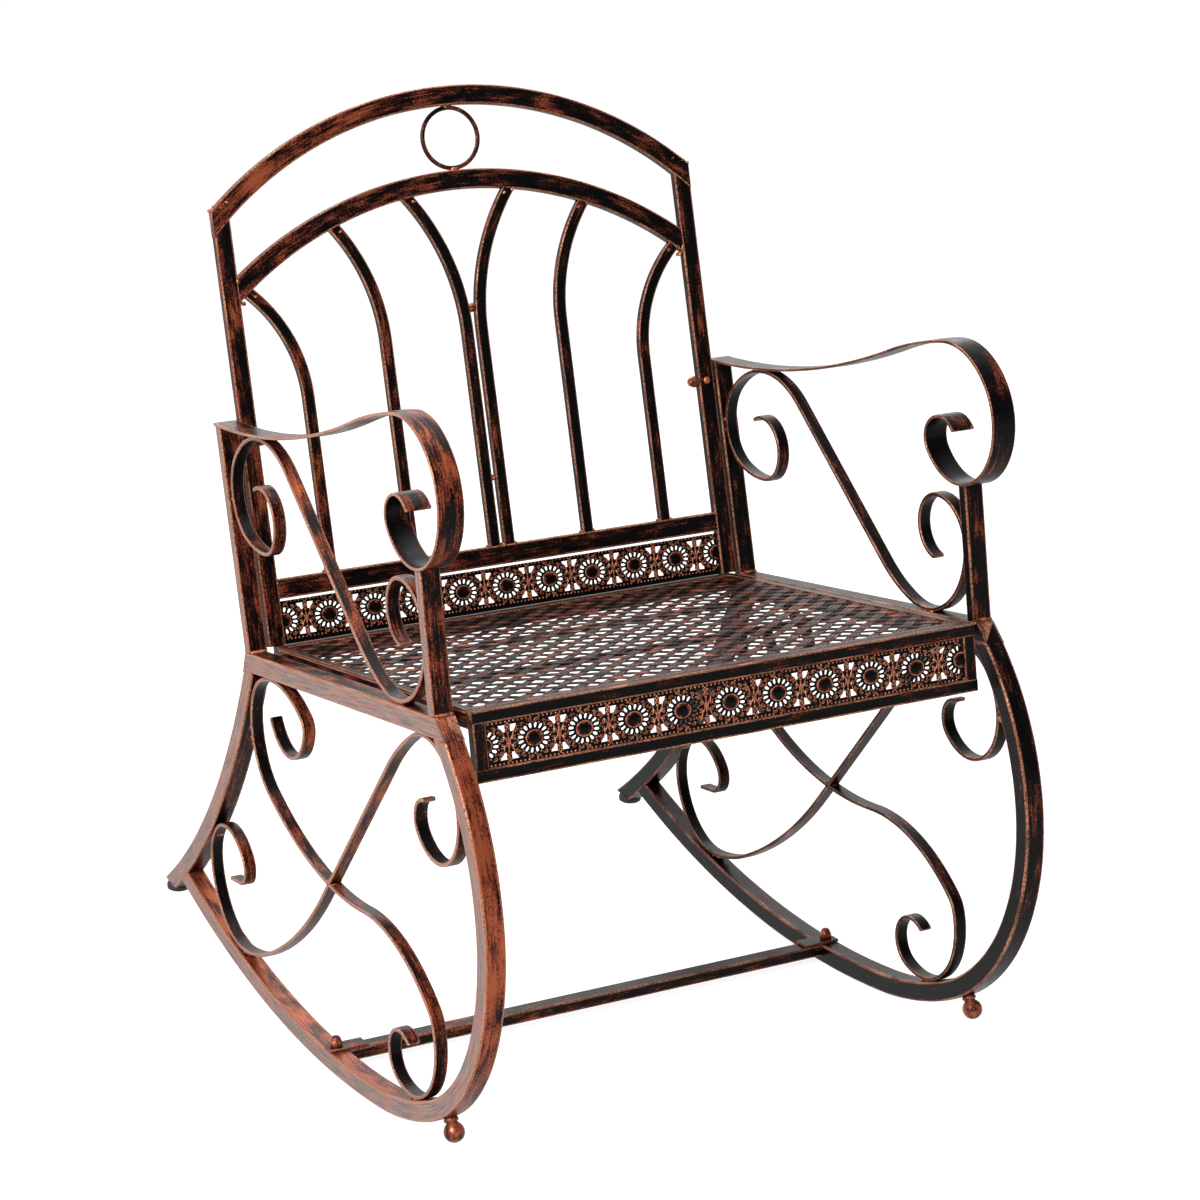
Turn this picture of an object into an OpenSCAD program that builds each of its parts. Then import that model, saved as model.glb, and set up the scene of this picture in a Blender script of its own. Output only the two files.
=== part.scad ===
// Rocking chair for a porch or patio, welded up from square tube and flat bar.
// Two side frames with scrolled bars carry a punched seat and a barred back under two arches.
// Everything is drawn level, with x across, y to the rear and z up from the top of the rails,
// and stand() then leans it back as it rests on its runners. All sizes are in millimetres.

/* [Side frames] */
// Distance between the middles of the two side frames
frame_span = 560; // [480:10:700]
// Length of a side rail along its top
rail_l = 470; // [430:10:520]
// Height from the runner's lowest point to the top of the rail
leg_h = 412; // [380:4:440]
// Side of the square tube of rails, rockers and rear legs
tube = 20; // [16:1:24]
// Radius of the long curve that the chair rocks on
runner_r = 1150; // [1100:10:1200]
// Lean of the whole chair when it stands balanced
rest_tilt = 6.5; // [5:0.5:10]

/* [Arms] */
// Height of the armrest's rear end above the rail
arm_h = 229; // [200:1:260]
// Width of the armrest's flat bar
arm_w = 25; // [20:1:40]
// Thickness of the armrest's flat bar
arm_t = 3; // [3:0.5:5]
// Depth of an arm post from front to rear
post_d = 12; // [10:1:16]

/* [Scrollwork] */
// Width of the scrolled bars
bar_w = 13; // [10:1:18]
// Thickness of the scrolled bars
bar_t = 4; // [3:0.5:6]

/* [Back] */
// Height of an upright from its foot to its top corner
back_h = 437; // [400:1:500]
// Backward lean of the back and the rear arm posts against the side frames
back_lean = 5; // [3:0.5:8]
// Gap between an upright and the arm post beside it
back_gap = 2.5; // [1.5:0.5:6]
// Width of an upright's tube
upright_w = 18; // [15:1:22]
// Depth of the back's tubes from front to rear
back_d = 10; // [8:1:14]
// Height of the arches' and the lower rail's tubes
arch_w = 20; // [16:1:24]
// Rise of the outer arch above its corners
arch_rise = 102; // [80:1:120]
// Rise of the inner arch above its ends
inner_rise = 84; // [70:1:95]
// Outer diameter of the ring between the arches
ring_d = 66; // [50:1:80]
// Thickness of the ring's round bar
ring_t = 4.6; // [4:0.2:8]
// Width of the bars in the back
stile_w = 12; // [8:1:16]
// Depth of the bars in the back
stile_d = 8; // [6:1:10]
// Distance between the middles of neighbouring bars on one side
stile_pitch = 91; // [80:1:95]
// Distance between the middles of the two centre bars
pair_pitch = 16.5; // [16:0.5:30]
// Height of the lower rail's top edge above the seat
low_rail_s = 66; // [60:1:100]

/* [Seat] */
// Gap between the seat and a side rail
seat_gap = 10; // [4:1:20]
// Height of the seat's surface above the top of the rails
seat_rise = 2; // [0:0.5:10]
// Thickness of the seat sheet
sheet_t = 1.5; // [1:0.5:3]
// How far the apron stands in front of the rails
apron_out = 13.5; // [8:0.5:30]
// Height of the apron
apron_h = 65; // [58:1:90]
// Depth of the apron's frame from front to rear
apron_d = 12; // [8:1:16]
// Width of the apron's frame at its ends
apron_side = 12.5; // [8:0.5:20]
// Width of the tubes under the seat sheet
seat_bar_w = 12; // [10:1:20]
// Height of the tubes under the seat sheet
seat_bar_h = 16; // [10:1:25]
// Height of the rear bar, whose top is level with the seat and carries the back
seat_rear_h = 18; // [16:1:40]
// Number of cross bars under the seat
cross_bars = 2; // [1:1:5]
// Height of the cross bars
cross_bar_h = 4; // [3:1:12]

/* [Pierced strips] */
// Height of a pierced strip
strip_h = 40; // [36:1:48]
// Thickness of a pierced strip
strip_t = 1.5; // [1:0.5:3]
// Distance from one daisy to the next
daisy_pitch = 49.5; // [48:0.5:60]
// Number of petals of a daisy
petals = 8; // [8:2:20]

/* [Seat holes] */
// Distance between the seat's holes across
hole_px = 44; // [38:1:60]
// Distance between rows of the seat's holes
hole_py = 29; // [24:1:40]
// Width of a hole across the seat
hole_l = 17; // [8:1:20]
// Length of a hole from front to rear
hole_w = 20; // [8:1:22]

/* [Stretcher and feet] */
// Height of the stretcher's tube
stretcher_h = 12; // [10:1:18]
// Place of the stretcher behind the runner's lowest point
stretcher_y = 110; // [60:2:160]
// Thickness of the stretcher's end tabs
tab_t = 3; // [2:0.5:5]
// Diameter of the ball feet at the front
ball_d = 20; // [16:1:24]
// Diameter of the disc feet at the rear
foot_d = 26; // [20:1:34]
// Thickness of the disc feet
foot_t = 8; // [5:1:12]
// Slope of the disc feet, which lie flat once the chair is rocked fully back
foot_slope = 13; // [8:1:18]

/* [Bolts] */
// Diameter of the bolts
bolt_d = 6; // [5:1:8]
// Diameter of the dome nuts
nut_d = 12; // [10:1:14]
// Height of the bolts between the back and the arm posts
back_bolt_z = 208; // [150:1:215]

/* [Hidden] */

// Colours of the antique bronze paint, the brighter rubbed copper and the black glides
bronze = "#4a2f26";
copper = "#a5583a";
glide = "#1d1a19";

// Most that a straight step along a bend may stand off the true arc
bend_error = 0.6;
// Sides of small round parts in a preview
$fn = 12;
// Little more than nothing, for cuts that pass right through
eps = 0.05;
// Gap left between parts that are set side by side
fit = 0.2;

// The bends are drawn for a rail of this length and then stretched to the real one
drawn_rail_l = 470;
drawn_front = -240;
ky = rail_l / drawn_rail_l;
front_y = drawn_front * ky;
rear_y = front_y + rail_l;

// A chain of bends starts at [y, z, heading] and lists [radius, turn], left turns positive.
// A turn of 0 makes a straight run of that length.
function advance(p, s) =
    let (a = p[2], b = p[2] + s[1], k = sign(s[1]) * s[0])
    s[1] == 0 ? [p[0] + s[0] * cos(a), p[1] + s[0] * sin(a), a]
    : [p[0] + k * (sin(b) - sin(a)), p[1] - k * (cos(b) - cos(a)), b];

// Bends cut into short equal steps
function steps(bends) = [
    for (s = bends)
        let (n = max(1, ceil(abs(s[1]) / (2 * acos(1 - bend_error / s[0])))))
        for (i = [1:n]) s[1] == 0 ? s : [s[0], s[1] / n]
];

// Points [y, z, direction y, direction z] along the chain
function chain(start, bends) =
    let (list = steps(bends), n = len(list))
    [for (i = 0, p = start; i <= n; p = i < n ? advance(p, list[i]) : p, i = i + 1)
        [p[0], p[1], cos(p[2]), sin(p[2])]];

// The chain stretched about the origin
function stretch(path, sy, sz) = [
    for (q = path)
        let (t = [q[2] * sy, q[3] * sz])
        [q[0] * sy, q[1] * sz, t[0] / norm(t), t[1] / norm(t)]
];
function moved(path, y, z) = [for (q = path) [q[0] + y, q[1] + z, q[2], q[3]]];
function ys(path) = [for (q = path) q[0]];
function zs(path) = [for (q = path) q[1]];

// The chain stretched and moved so that it fills a box
function filled(path, y0, y1, z0, z1) =
    let (sy = (y1 - y0) / (max(ys(path)) - min(ys(path))),
         sz = (z1 - z0) / (max(zs(path)) - min(zs(path))),
         q = stretch(path, sy, sz))
    moved(q, y0 - min(ys(q)), z0 - min(zs(q)));

// Points beside the chain, at a distance to its left
function edge(path, d) = [for (q = path) [q[0] - d * q[3], q[1] + d * q[2]]];
function reversed(list) = [for (i = [len(list) - 1:-1:0]) list[i]];
// Outline of a strip between two distances to the left of a chain
function strip(path, d0, d1) = concat(edge(path, d0), reversed(edge(path, d1)));
// Where an edge crosses a height or a station
function y_at(list, z) = lookup(z, [for (q = list) [q[1], q[0]]]);
function z_at(list, y) = lookup(y, [for (q = list) [q[0], q[1]]]);

// Outer edge of the rocker: bowed front leg, toe, short curve and the long rocking curve,
// which goes in steps of 1 degree, so that the chair comes to rest on a short flat
toe_turns = [43, 74, 16];
rocking_turn = 30;
rocker_raw = chain([drawn_front, 0, 360 - toe_turns[0] - toe_turns[1] - toe_turns[2]],
    concat([[250, toe_turns[0]], [235, toe_turns[1]], [450, toe_turns[2]]],
        [for (i = [1:rocking_turn]) [runner_r, 1]]));
rocker_path = stretch(rocker_raw, ky, -leg_h / min(zs(rocker_raw)));
rocker_inner = edge(rocker_path, tube);
front_inner = [for (q = rocker_inner) if (q[0] < front_y / 2 && q[1] > -leg_h / 2) q];
runner_inner = [for (q = rocker_inner) if (q[0] > front_y * 0.6 && q[1] < -leg_h / 2) q];

// Front edge of the rear leg, which flares back to its foot
leg_path = stretch(chain([209, -8, -57], [[841, 31]]), ky, leg_h / 412);
leg_front = edge(leg_path, 0);
leg_end = leg_path[len(leg_path) - 1];
foot_y = leg_end[0] - leg_end[3] * tube / 2;
foot_z = leg_end[1] + leg_end[2] * tube / 2;

// Armrest, from its rear end forward to the curl that stands on the front post
arm_path = stretch(
    chain([248, 229, 185], [[12, 0], [1140, -18], [500, 11], [80, 63], [63, 178], [20, 75], [28, 105]]),
    ky, arm_h / 229);
arm_curl_z = min(zs(arm_path));
arm_under = edge(arm_path, arm_t / 2);

function lean_y(z) = z * tan(back_lean);
post_x = frame_span / 2;
rear_post_y = rear_y - post_d / 2;

// Scroll between armrest, posts and rail: a curl at each end of a long diagonal
arm_scroll_path = filled(
    chain([167, 168, 154],
        [[33, 207], [109, 25], [49, 115], [100, 85], [208, 0],
         [154, -22], [74, -105], [46, -99], [32, -162]]),
    front_y + 2 + post_d + fit + bar_t / 2,
    rear_post_y + lean_y(arm_h * 0.7) - post_d / 2 - fit - bar_t / 2,
    fit + bar_t / 2,
    z_at(arm_under, 145 * ky) - fit - bar_t / 2);

// How far the scrolls' boxes stop short of the curved leg and runner, or pass them, so that their bends touch
long_leg_gap = 10.3;
long_runner_gap = 1.2;
cross_leg_gap = 7.7;
cross_runner_drop = 3.4;

// Scroll from under the rail's rear end down to the runner's front
long_scroll_path = filled(
    chain([195, -63, 253],
        [[48, -138], [14, -74], [115, -54], [54, -56], [71, -75], [405, -35],
         [198, 47], [27, 32], [69, 129], [26, 104], [29, 95]]),
    -160 * ky,
    y_at(leg_front, -leg_h * 0.18) - long_leg_gap - fit - bar_t / 2,
    z_at(runner_inner, -105 * ky) - long_runner_gap + fit + bar_t / 2,
    -tube - fit - bar_t / 2);

// Scroll that crosses it, from the runner's rear up to the rail's front
cross_scroll_path = filled(
    chain([359, -256, 181],
        [[28, 0], [18.5, -120], [54.5, -51], [52.5, -104], [77.5, -85], [224, -19], [545, -20.5], [256.5, 0],
         [264, 17], [64, 103], [52.5, 149.5], [21, 138]]),
    y_at(front_inner, -leg_h * 0.21) + cross_leg_gap + fit + bar_t / 2,
    412.8 * ky,
    z_at(runner_inner, 365 * ky) - cross_runner_drop,
    -tube - fit - bar_t / 2);

// Standing height and the middle of the footprint once the chair leans back
function leaned_y(q) = q[0] * cos(rest_tilt) + q[1] * sin(rest_tilt);
function leaned_z(q) = q[1] * cos(rest_tilt) - q[0] * sin(rest_tilt);
lift = -min([for (q = rocker_path) leaned_z(q)]);
foot_rear = leaned_y([foot_y + foot_d / 2 * cos(foot_slope), foot_z + foot_d / 2 * sin(foot_slope)]);
shift_y = -(min([for (q = rocker_path) leaned_y(q)]) + foot_rear) / 2;

// Back, drawn in its own plane: x across and s up from the seat
back_half = (frame_span - tube) / 2 - back_gap;
back_inner = back_half - upright_w;
arch_r = (back_half * back_half + arch_rise * arch_rise) / (2 * arch_rise);
arch_s = back_h + arch_rise - arch_r;
inner_top = back_h + arch_rise - arch_w - ring_d;
inner_r = (back_inner * back_inner + inner_rise * inner_rise) / (2 * inner_rise);
inner_s = inner_top - inner_r;
inner_end = inner_top - inner_rise;
// Middle of each bar, drop of its bend below the inner arch's ends, and radius of the bend
stiles = [
    [pair_pitch / 2, 81, 230],
    [pair_pitch / 2 + stile_pitch, 81, 195],
    [pair_pitch / 2 + 2 * stile_pitch, 128, 150],
];

// Seat
seat_half = (frame_span - tube) / 2 - seat_gap;
seat_front = front_y - apron_out;
seat_rear = rear_y - 1;
sheet_rear = seat_rear - seat_bar_w;
seat_mid = (seat_front + apron_d + sheet_rear) / 2;
seat_len = sheet_rear - seat_front - apron_d;
seat_under = seat_rise - sheet_t;
apron_mid = seat_rise - apron_h / 2;

// Where the stretcher crosses the runners, and the slope of the runner there
stretch_z = z_at(runner_inner, stretcher_y);
stretch_slope = asin(stretcher_y / runner_r);

module stand() translate([0, shift_y, lift]) rotate([-rest_tilt, 0, 0]) children();

// A side-view outline made into a plate of width w whose middle is at x
module plate(x, w) translate([x - w / 2, 0, 0]) rotate([90, 0, 90]) linear_extrude(w) children();

// The half plane above a height, and the region behind the front edge of the rear leg
module above(z) translate([-1000, z]) square([2500, 1000]);
module behind_leg() polygon(concat(leg_front, [[leg_end[0] + 300, leg_end[1] - 150], [leg_end[0] + 300, 200],
    [leg_front[0][0] - 200, 200]]));

// Side frame pieces, for side = -1 left and 1 right
module side_rail(side) color(bronze) stand() plate(side * post_x, tube)
    polygon([[front_y, 0], [y_at(edge(rocker_path, 0), -tube), -tube],
        [y_at(edge(leg_path, tube), -tube), -tube], [rear_y, 0]]);

module rocker(side) color(bronze) stand() plate(side * post_x, tube)
    difference() {
        polygon(strip(rocker_path, 0, tube));
        above(-tube);
        behind_leg();
    }

module rear_leg(side) color(bronze) stand() plate(side * post_x, tube)
    difference() {
        polygon(strip(concat(leg_path, [[leg_end[0] + 30 * leg_end[2], leg_end[1] + 30 * leg_end[3],
            leg_end[2], leg_end[3]]]), 0, tube));
        above(-tube);
        translate([foot_y, foot_z]) rotate(foot_slope) translate([-60, -60]) square([120, 60]);
    }

module front_arm_post(side) color(bronze) stand() plate(side * post_x, tube)
    difference() {
        translate([front_y + 2, 0]) square([post_d, arm_curl_z]);
        polygon(strip(arm_path, -arm_t / 2, arm_t / 2));
    }

module rear_arm_post(side) color(bronze) stand() plate(side * post_x, tube)
    difference() {
        polygon([[rear_y - post_d, 0], [rear_y, 0],
            [rear_y + lean_y(arm_h), arm_h], [rear_y - post_d + lean_y(arm_h), arm_h]]);
        polygon(concat(edge(arm_path, arm_t / 2), [[front_y, arm_h * 2], [rear_y * 2, arm_h * 2]]));
    }

module armrest(side) color(bronze) stand() plate(side * post_x, arm_w)
    polygon(strip(arm_path, -arm_t / 2, arm_t / 2));

module scroll_bar(side, path) color(bronze) stand() plate(side * post_x, bar_w)
    polygon(strip(path, -bar_t / 2, bar_t / 2));

// The crossing scroll is two lengths butted against the long scroll
module cross_scroll(side) color(bronze) stand() plate(side * post_x, bar_w)
    difference() {
        polygon(strip(cross_scroll_path, -bar_t / 2, bar_t / 2));
        polygon(strip(long_scroll_path, -bar_t / 2, bar_t / 2));
    }

// Ball foot on a short stem, square to the toe of the rocker
ball_gap = 4;
ball_slope = 28;
toe = [for (q = rocker_path) if (q[2] > 0 && q[3] > -q[2] * tan(ball_slope)) q];
ball_at = toe[0];
module ball_foot(side) color(copper) stand()
    translate([side * post_x, ball_at[0], ball_at[1]])
    rotate([atan2(ball_at[3], ball_at[2]), 0, 0]) {
        translate([0, 0, -ball_gap - ball_d / 2]) sphere(d = ball_d);
        translate([0, 0, -ball_gap - 2]) cylinder(d = ball_d * 0.55, h = ball_gap + 2 - eps);
    }

// Disc glide under the cut end of the rear leg
module rear_foot(side) color(glide) stand()
    translate([side * post_x, foot_y, foot_z]) rotate([foot_slope, 0, 0])
    translate([0, 0, -foot_t]) {
        cylinder(d = foot_d, h = foot_t * 0.7);
        translate([0, 0, foot_t * 0.7]) cylinder(d1 = foot_d, d2 = foot_d * 0.8, h = foot_t * 0.3);
    }

// Back pieces stand on the seat: x across, s up the leaning back, d deep
module in_back(d) stand() translate([0, rear_post_y, 0]) rotate([-back_lean, 0, 0])
    translate([0, 0, seat_rise / cos(back_lean) + back_foot]) rotate([90, 0, 0])
    translate([0, 0, -d / 2]) linear_extrude(d) children();
// Lift that lets the leaning feet clear the seat
back_foot = back_d / 2 * tan(back_lean) + fit;

module ring_of(r_out, r_in, s) translate([0, s]) difference() {
    circle(r = r_out, $fn = 90);
    circle(r = r_in, $fn = 90);
}

module back_upright(side) color(bronze) in_back(back_d)
    intersection() {
        translate([side * (back_half - upright_w / 2) - upright_w / 2, 0]) square([upright_w, back_h]);
        translate([0, arch_s]) circle(r = arch_r - arch_w, $fn = 90);
    }

module back_outer_arch() color(bronze) in_back(back_d)
    intersection() {
        ring_of(arch_r, arch_r - arch_w, arch_s);
        translate([-back_half, arch_s]) square([2 * back_half, arch_r + 1]);
    }

module back_inner_arch() color(bronze) in_back(back_d)
    intersection() {
        ring_of(inner_r, inner_r - arch_w, inner_s);
        translate([-back_inner, inner_s]) square([2 * back_inner, inner_r + 1]);
    }

module back_ring() color(copper) stand() translate([0, rear_post_y, 0]) rotate([-back_lean, 0, 0])
    translate([0, 0, seat_rise / cos(back_lean) + back_foot + inner_top + ring_d / 2])
    rotate([90, 0, 0]) rotate_extrude($fn = 40) translate([ring_d / 2 - ring_t / 2, 0]) circle(d = ring_t, $fn = 8);

// A bar rises straight from the lower rail and bends outward until the arch cuts it off
module stile(i) let (side = i < 3 ? -1 : 1, s = stiles[i < 3 ? 2 - i : i - 3], rise = inner_end - s[1] - low_rail_s)
    color(bronze) in_back(stile_d) intersection() {
        polygon([for (q = strip(chain([0, 0, 90], [[rise, 0], [s[2], -60]]), -stile_w / 2, stile_w / 2))
            [side * (q[0] + s[0]), q[1] + low_rail_s]]);
        translate([0, inner_s]) circle(r = inner_r - arch_w, $fn = 90);
    }

module back_lower_rail() color(bronze) in_back(back_d)
    translate([-back_inner, low_rail_s - arch_w]) square([2 * back_inner, arch_w]);

// One daisy of a pierced strip: petals round an oval eye
eye_x = 9.5;
eye_y = 8;
petal_x = 17;
petal_y = 14;
module daisy() for (i = [0:petals - 1])
    let (a = (i + 0.5) * 360 / petals, w = 360 / petals * 0.32)
    polygon([
        [eye_x * cos(a), eye_y * sin(a)],
        [petal_x * cos(a - w), petal_y * sin(a - w)],
        [petal_x * cos(a + w), petal_y * sin(a + w)],
    ]);

// Openings beside the little post between two daisies
module post_gaps() for (mx = [0, 1], my = [0, 1]) mirror([mx, 0]) mirror([0, my])
    polygon([[1.8, 6], [1.8, strip_h / 2 - 4], [11, strip_h / 2 - 4]]);

// Pierced strip of length l, cut from an endless run of daisies
module daisy_strip(l) difference() {
    square([l, strip_h], center = true);
    intersection() {
        square([l - 5, strip_h - 5], center = true);
        for (k = [-ceil(l / daisy_pitch / 2):ceil(l / daisy_pitch / 2)]) {
            translate([k * daisy_pitch, 0]) daisy();
            translate([(k + 0.5) * daisy_pitch, 0]) post_gaps();
        }
    }
}

// Domed eyes of the daisies
module eyes(l) for (k = [-ceil(l / daisy_pitch / 2):ceil(l / daisy_pitch / 2)])
    if (abs(k) * daisy_pitch + eye_x < l / 2)
        translate([k * daisy_pitch, 0, -eps])
            cylinder(r1 = eye_y - 0.8, r2 = eye_y * 0.6, h = 1.5 + eps, $fn = 8);

strip_s = low_rail_s - arch_w - 2.5 - strip_h / 2;
module back_fretwork() color(copper) {
    in_back(strip_t) {
        translate([0, strip_s]) daisy_strip(2 * back_inner - 1);
        translate([0.5 - back_inner, 0]) square([2 * back_inner - 1, strip_s - strip_h / 2 + eps]);
        for (x = [-1, -0.5, 0, 0.5, 1])
            translate([x * (back_inner - 5) - 2, strip_s + strip_h / 2 - eps]) square([4, 2.5 + eps]);
    }
    stand() translate([0, rear_post_y, 0]) rotate([-back_lean, 0, 0])
        translate([0, -strip_t / 2, seat_rise / cos(back_lean) + back_foot + strip_s])
        rotate([90, 0, 0]) eyes(2 * back_inner);
}

module seat_box(x0, x1, y0, y1, z0, z1) stand() translate([x0, y0, z0]) cube([x1 - x0, y1 - y0, z1 - z0]);

module seat_side_bar(side) color(bronze)
    seat_box(side < 0 ? -seat_half : seat_half - seat_bar_w, side < 0 ? -seat_half + seat_bar_w : seat_half,
        seat_front + apron_d, sheet_rear, seat_under - seat_bar_h, seat_under);

module seat_rear_bar() color(bronze)
    seat_box(-seat_half, seat_half, sheet_rear, seat_rear, seat_rise - seat_rear_h, seat_rise);

module seat_cross_bars() color(bronze) for (i = [1:cross_bars])
    let (y = seat_front + apron_d + seat_len * i / (cross_bars + 1))
    seat_box(-seat_half + seat_bar_w, seat_half - seat_bar_w, y - seat_bar_w / 2, y + seat_bar_w / 2,
        seat_under - cross_bar_h, seat_under);

// Diamond-shaped hole between the crossing bands of the seat's weave
module diamond() polygon([[-hole_l / 2, 0], [0, -hole_w / 2], [hole_l / 2, 0], [0, hole_w / 2]]);

hole_nx = floor((2 * seat_half - 2 * seat_bar_w - hole_l) / hole_px) + 1;
hole_ny = floor((seat_len - seat_bar_w - hole_w) / hole_py) + 1;
module seat_sheet() color(bronze) stand() translate([0, seat_mid, seat_under]) linear_extrude(sheet_t)
    difference() {
        square([2 * seat_half, seat_len], center = true);
        for (j = [0:hole_ny - 1], i = [0:hole_nx - 1 - j % 2])
            translate([(i - (hole_nx - 1 - j % 2) / 2) * hole_px, (j - (hole_ny - 1) / 2) * hole_py]) diamond();
    }

module in_apron(y, d) stand() translate([0, y, apron_mid]) rotate([90, 0, 0])
    translate([0, 0, -d]) linear_extrude(d) children();

module apron_frame() color(bronze) in_apron(seat_front, apron_d) difference() {
    square([2 * seat_half, apron_h], center = true);
    square([2 * (seat_half - apron_side), strip_h], center = true);
}

module apron_fretwork() color(copper) {
    in_apron(seat_front + 1.5, strip_t) daisy_strip(2 * (seat_half - apron_side));
    stand() translate([0, seat_front + 1.5, apron_mid]) rotate([90, 0, 0]) eyes(2 * (seat_half - apron_side));
}

// Stretcher between the runners, its top level with theirs
module at_stretcher() stand() translate([0, stretcher_y, stretch_z]) rotate([stretch_slope, 0, 0]) children();
stretch_half = post_x - tube / 2 - fit;
module stretcher() color(bronze) at_stretcher()
    translate([-stretch_half, -tube / 2, -stretcher_h]) cube([2 * stretch_half, tube, stretcher_h]);

tab_l = 40;
module stretcher_tabs() color(bronze) at_stretcher() for (side = [-1, 1]) difference() {
    translate([side * (post_x - tube / 2) - tab_l / 2, -tube / 2, fit]) cube([tab_l, tube, tab_t]);
    translate([side * post_x, 0, 0]) cylinder(d = bolt_d + 1, h = 3 * tab_t, center = true);
}

// Dome nut from z = 0 upward, one turned shape
module dome_nut() rotate_extrude($fn = 10) polygon([
    [0, 0], [nut_d / 2, 0], [nut_d / 2, nut_d * 0.45], [nut_d * 0.43, nut_d * 0.5],
    [nut_d * 0.36, nut_d * 0.74], [nut_d * 0.2, nut_d * 0.88], [0, nut_d * 0.92]]);

module stretcher_bolts() color(copper) at_stretcher() for (side = [-1, 1])
    translate([side * post_x, 0, fit + tab_t + fit]) dome_nut();

// Spacers and bolts that carry the seat between the side rails
seat_bolt_y = [front_y + 30, rear_y - 40];
seat_bolt_z = seat_under - seat_bar_h / 2;
module seat_spacers() color(bronze) stand() for (side = [-1, 1], y = seat_bolt_y)
    translate([side * (seat_half + seat_gap / 2), y, seat_bolt_z]) rotate([0, 90, 0]) difference() {
        cylinder(d = bolt_d + 6, h = seat_gap - 2 * fit, center = true);
        cylinder(d = bolt_d + 0.4, h = seat_gap + 1, center = true);
    }

module seat_bolts() color(copper) stand() for (side = [-1, 1], y = seat_bolt_y)
    translate([side * (seat_half - seat_bar_w - fit), y, seat_bolt_z]) rotate([0, side * -90, 0]) dome_nut();

// Spacers and dome nuts between the back and the rear arm posts
back_bolt_y = rear_post_y + lean_y(back_bolt_z);
module back_spacers() color(bronze) stand() for (side = [-1, 1])
    translate([side * (back_half + back_gap / 2), back_bolt_y, back_bolt_z]) rotate([0, 90, 0])
    cylinder(d = bolt_d + 2, h = back_gap - 2 * fit, center = true);

module back_bolts() color(copper) stand() for (side = [-1, 1])
    translate([side * (back_inner - fit), back_bolt_y, back_bolt_z]) rotate([0, side * -90, 0]) dome_nut();

side_rail(-1);  // side_rail_left
side_rail(1);  // side_rail_right
rocker(-1);  // rocker_left
rocker(1);  // rocker_right
rear_leg(-1);  // rear_leg_left
rear_leg(1);  // rear_leg_right
front_arm_post(-1);  // front_arm_post_left
front_arm_post(1);  // front_arm_post_right
rear_arm_post(-1);  // rear_arm_post_left
rear_arm_post(1);  // rear_arm_post_right
armrest(-1);  // armrest_left
armrest(1);  // armrest_right
scroll_bar(-1, arm_scroll_path);  // arm_scroll_left
scroll_bar(1, arm_scroll_path);  // arm_scroll_right
scroll_bar(-1, long_scroll_path);  // long_scroll_left
scroll_bar(1, long_scroll_path);  // long_scroll_right
cross_scroll(-1);  // cross_scroll_left
cross_scroll(1);  // cross_scroll_right
ball_foot(-1);  // ball_foot_left
ball_foot(1);  // ball_foot_right
rear_foot(-1);  // rear_foot_left
rear_foot(1);  // rear_foot_right
back_upright(-1);  // back_upright_left
back_upright(1);  // back_upright_right
back_outer_arch();
back_inner_arch();
back_ring();
stile(0);  // back_bar_1
stile(1);  // back_bar_2
stile(2);  // back_bar_3
stile(3);  // back_bar_4
stile(4);  // back_bar_5
stile(5);  // back_bar_6
back_lower_rail();
back_fretwork();
seat_side_bar(-1);  // seat_side_bar_left
seat_side_bar(1);  // seat_side_bar_right
seat_rear_bar();
seat_cross_bars();
seat_sheet();
apron_frame();
apron_fretwork();
stretcher();
stretcher_tabs();
stretcher_bolts();
seat_bolts();
seat_spacers();
back_bolts();
back_spacers();
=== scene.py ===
import math
import bpy
import bmesh
import numpy as np
from mathutils import Matrix


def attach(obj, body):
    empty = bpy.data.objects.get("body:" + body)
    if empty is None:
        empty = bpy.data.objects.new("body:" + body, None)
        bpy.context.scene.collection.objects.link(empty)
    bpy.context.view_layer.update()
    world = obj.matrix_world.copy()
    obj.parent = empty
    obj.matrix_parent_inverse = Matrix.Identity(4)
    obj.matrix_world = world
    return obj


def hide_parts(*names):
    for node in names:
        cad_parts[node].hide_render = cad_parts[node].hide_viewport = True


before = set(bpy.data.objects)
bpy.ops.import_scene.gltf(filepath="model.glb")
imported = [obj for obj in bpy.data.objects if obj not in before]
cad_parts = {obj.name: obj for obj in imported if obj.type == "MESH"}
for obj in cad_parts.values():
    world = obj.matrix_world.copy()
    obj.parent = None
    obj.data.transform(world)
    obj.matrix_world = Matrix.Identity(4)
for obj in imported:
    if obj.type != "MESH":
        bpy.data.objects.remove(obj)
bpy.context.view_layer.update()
print("frame loaded")

# How the chair stands. Lengths are in mm, drawn level from the top of the side rails, then leaned back.
stance = {"tilt": 6.5, "shiftY": -99.971, "lift": 415.278, "frameX": 280.0, "backLean": 5.0, "backY": 224.0,
          "backFoot": 2.645}
sides = (("Left", -1), ("Right", 1))


def toLinear(hexColour):
    # sRGB to linear light: c / 12.92 in the darkest part, ((c + 0.055) / 1.055) ^ 2.4 above it
    c = np.array([int(hexColour[i:i + 2], 16) / 255 for i in (1, 3, 5)])
    lin = np.where(c <= 0.04045, c / 12.92, ((c + 0.055) / 1.055) ** 2.4)
    return (*map(float, lin), 1.0)


def addNode(tree, kind, settings=None, inputs=None):
    # one node with its settings; each input gets a value or the socket that feeds it
    node = tree.nodes.new(kind)
    for key, value in (settings or {}).items():
        setattr(node, key, value)
    for key, value in (inputs or {}).items():
        if isinstance(value, bpy.types.NodeSocket):
            tree.links.new(value, node.inputs[key])
        else:
            node.inputs[key].default_value = value
    return node


def newMaterial(name):
    material = bpy.data.materials.new(name)
    material.use_nodes = True
    material.node_tree.nodes.clear()
    return material, material.node_tree


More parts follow.
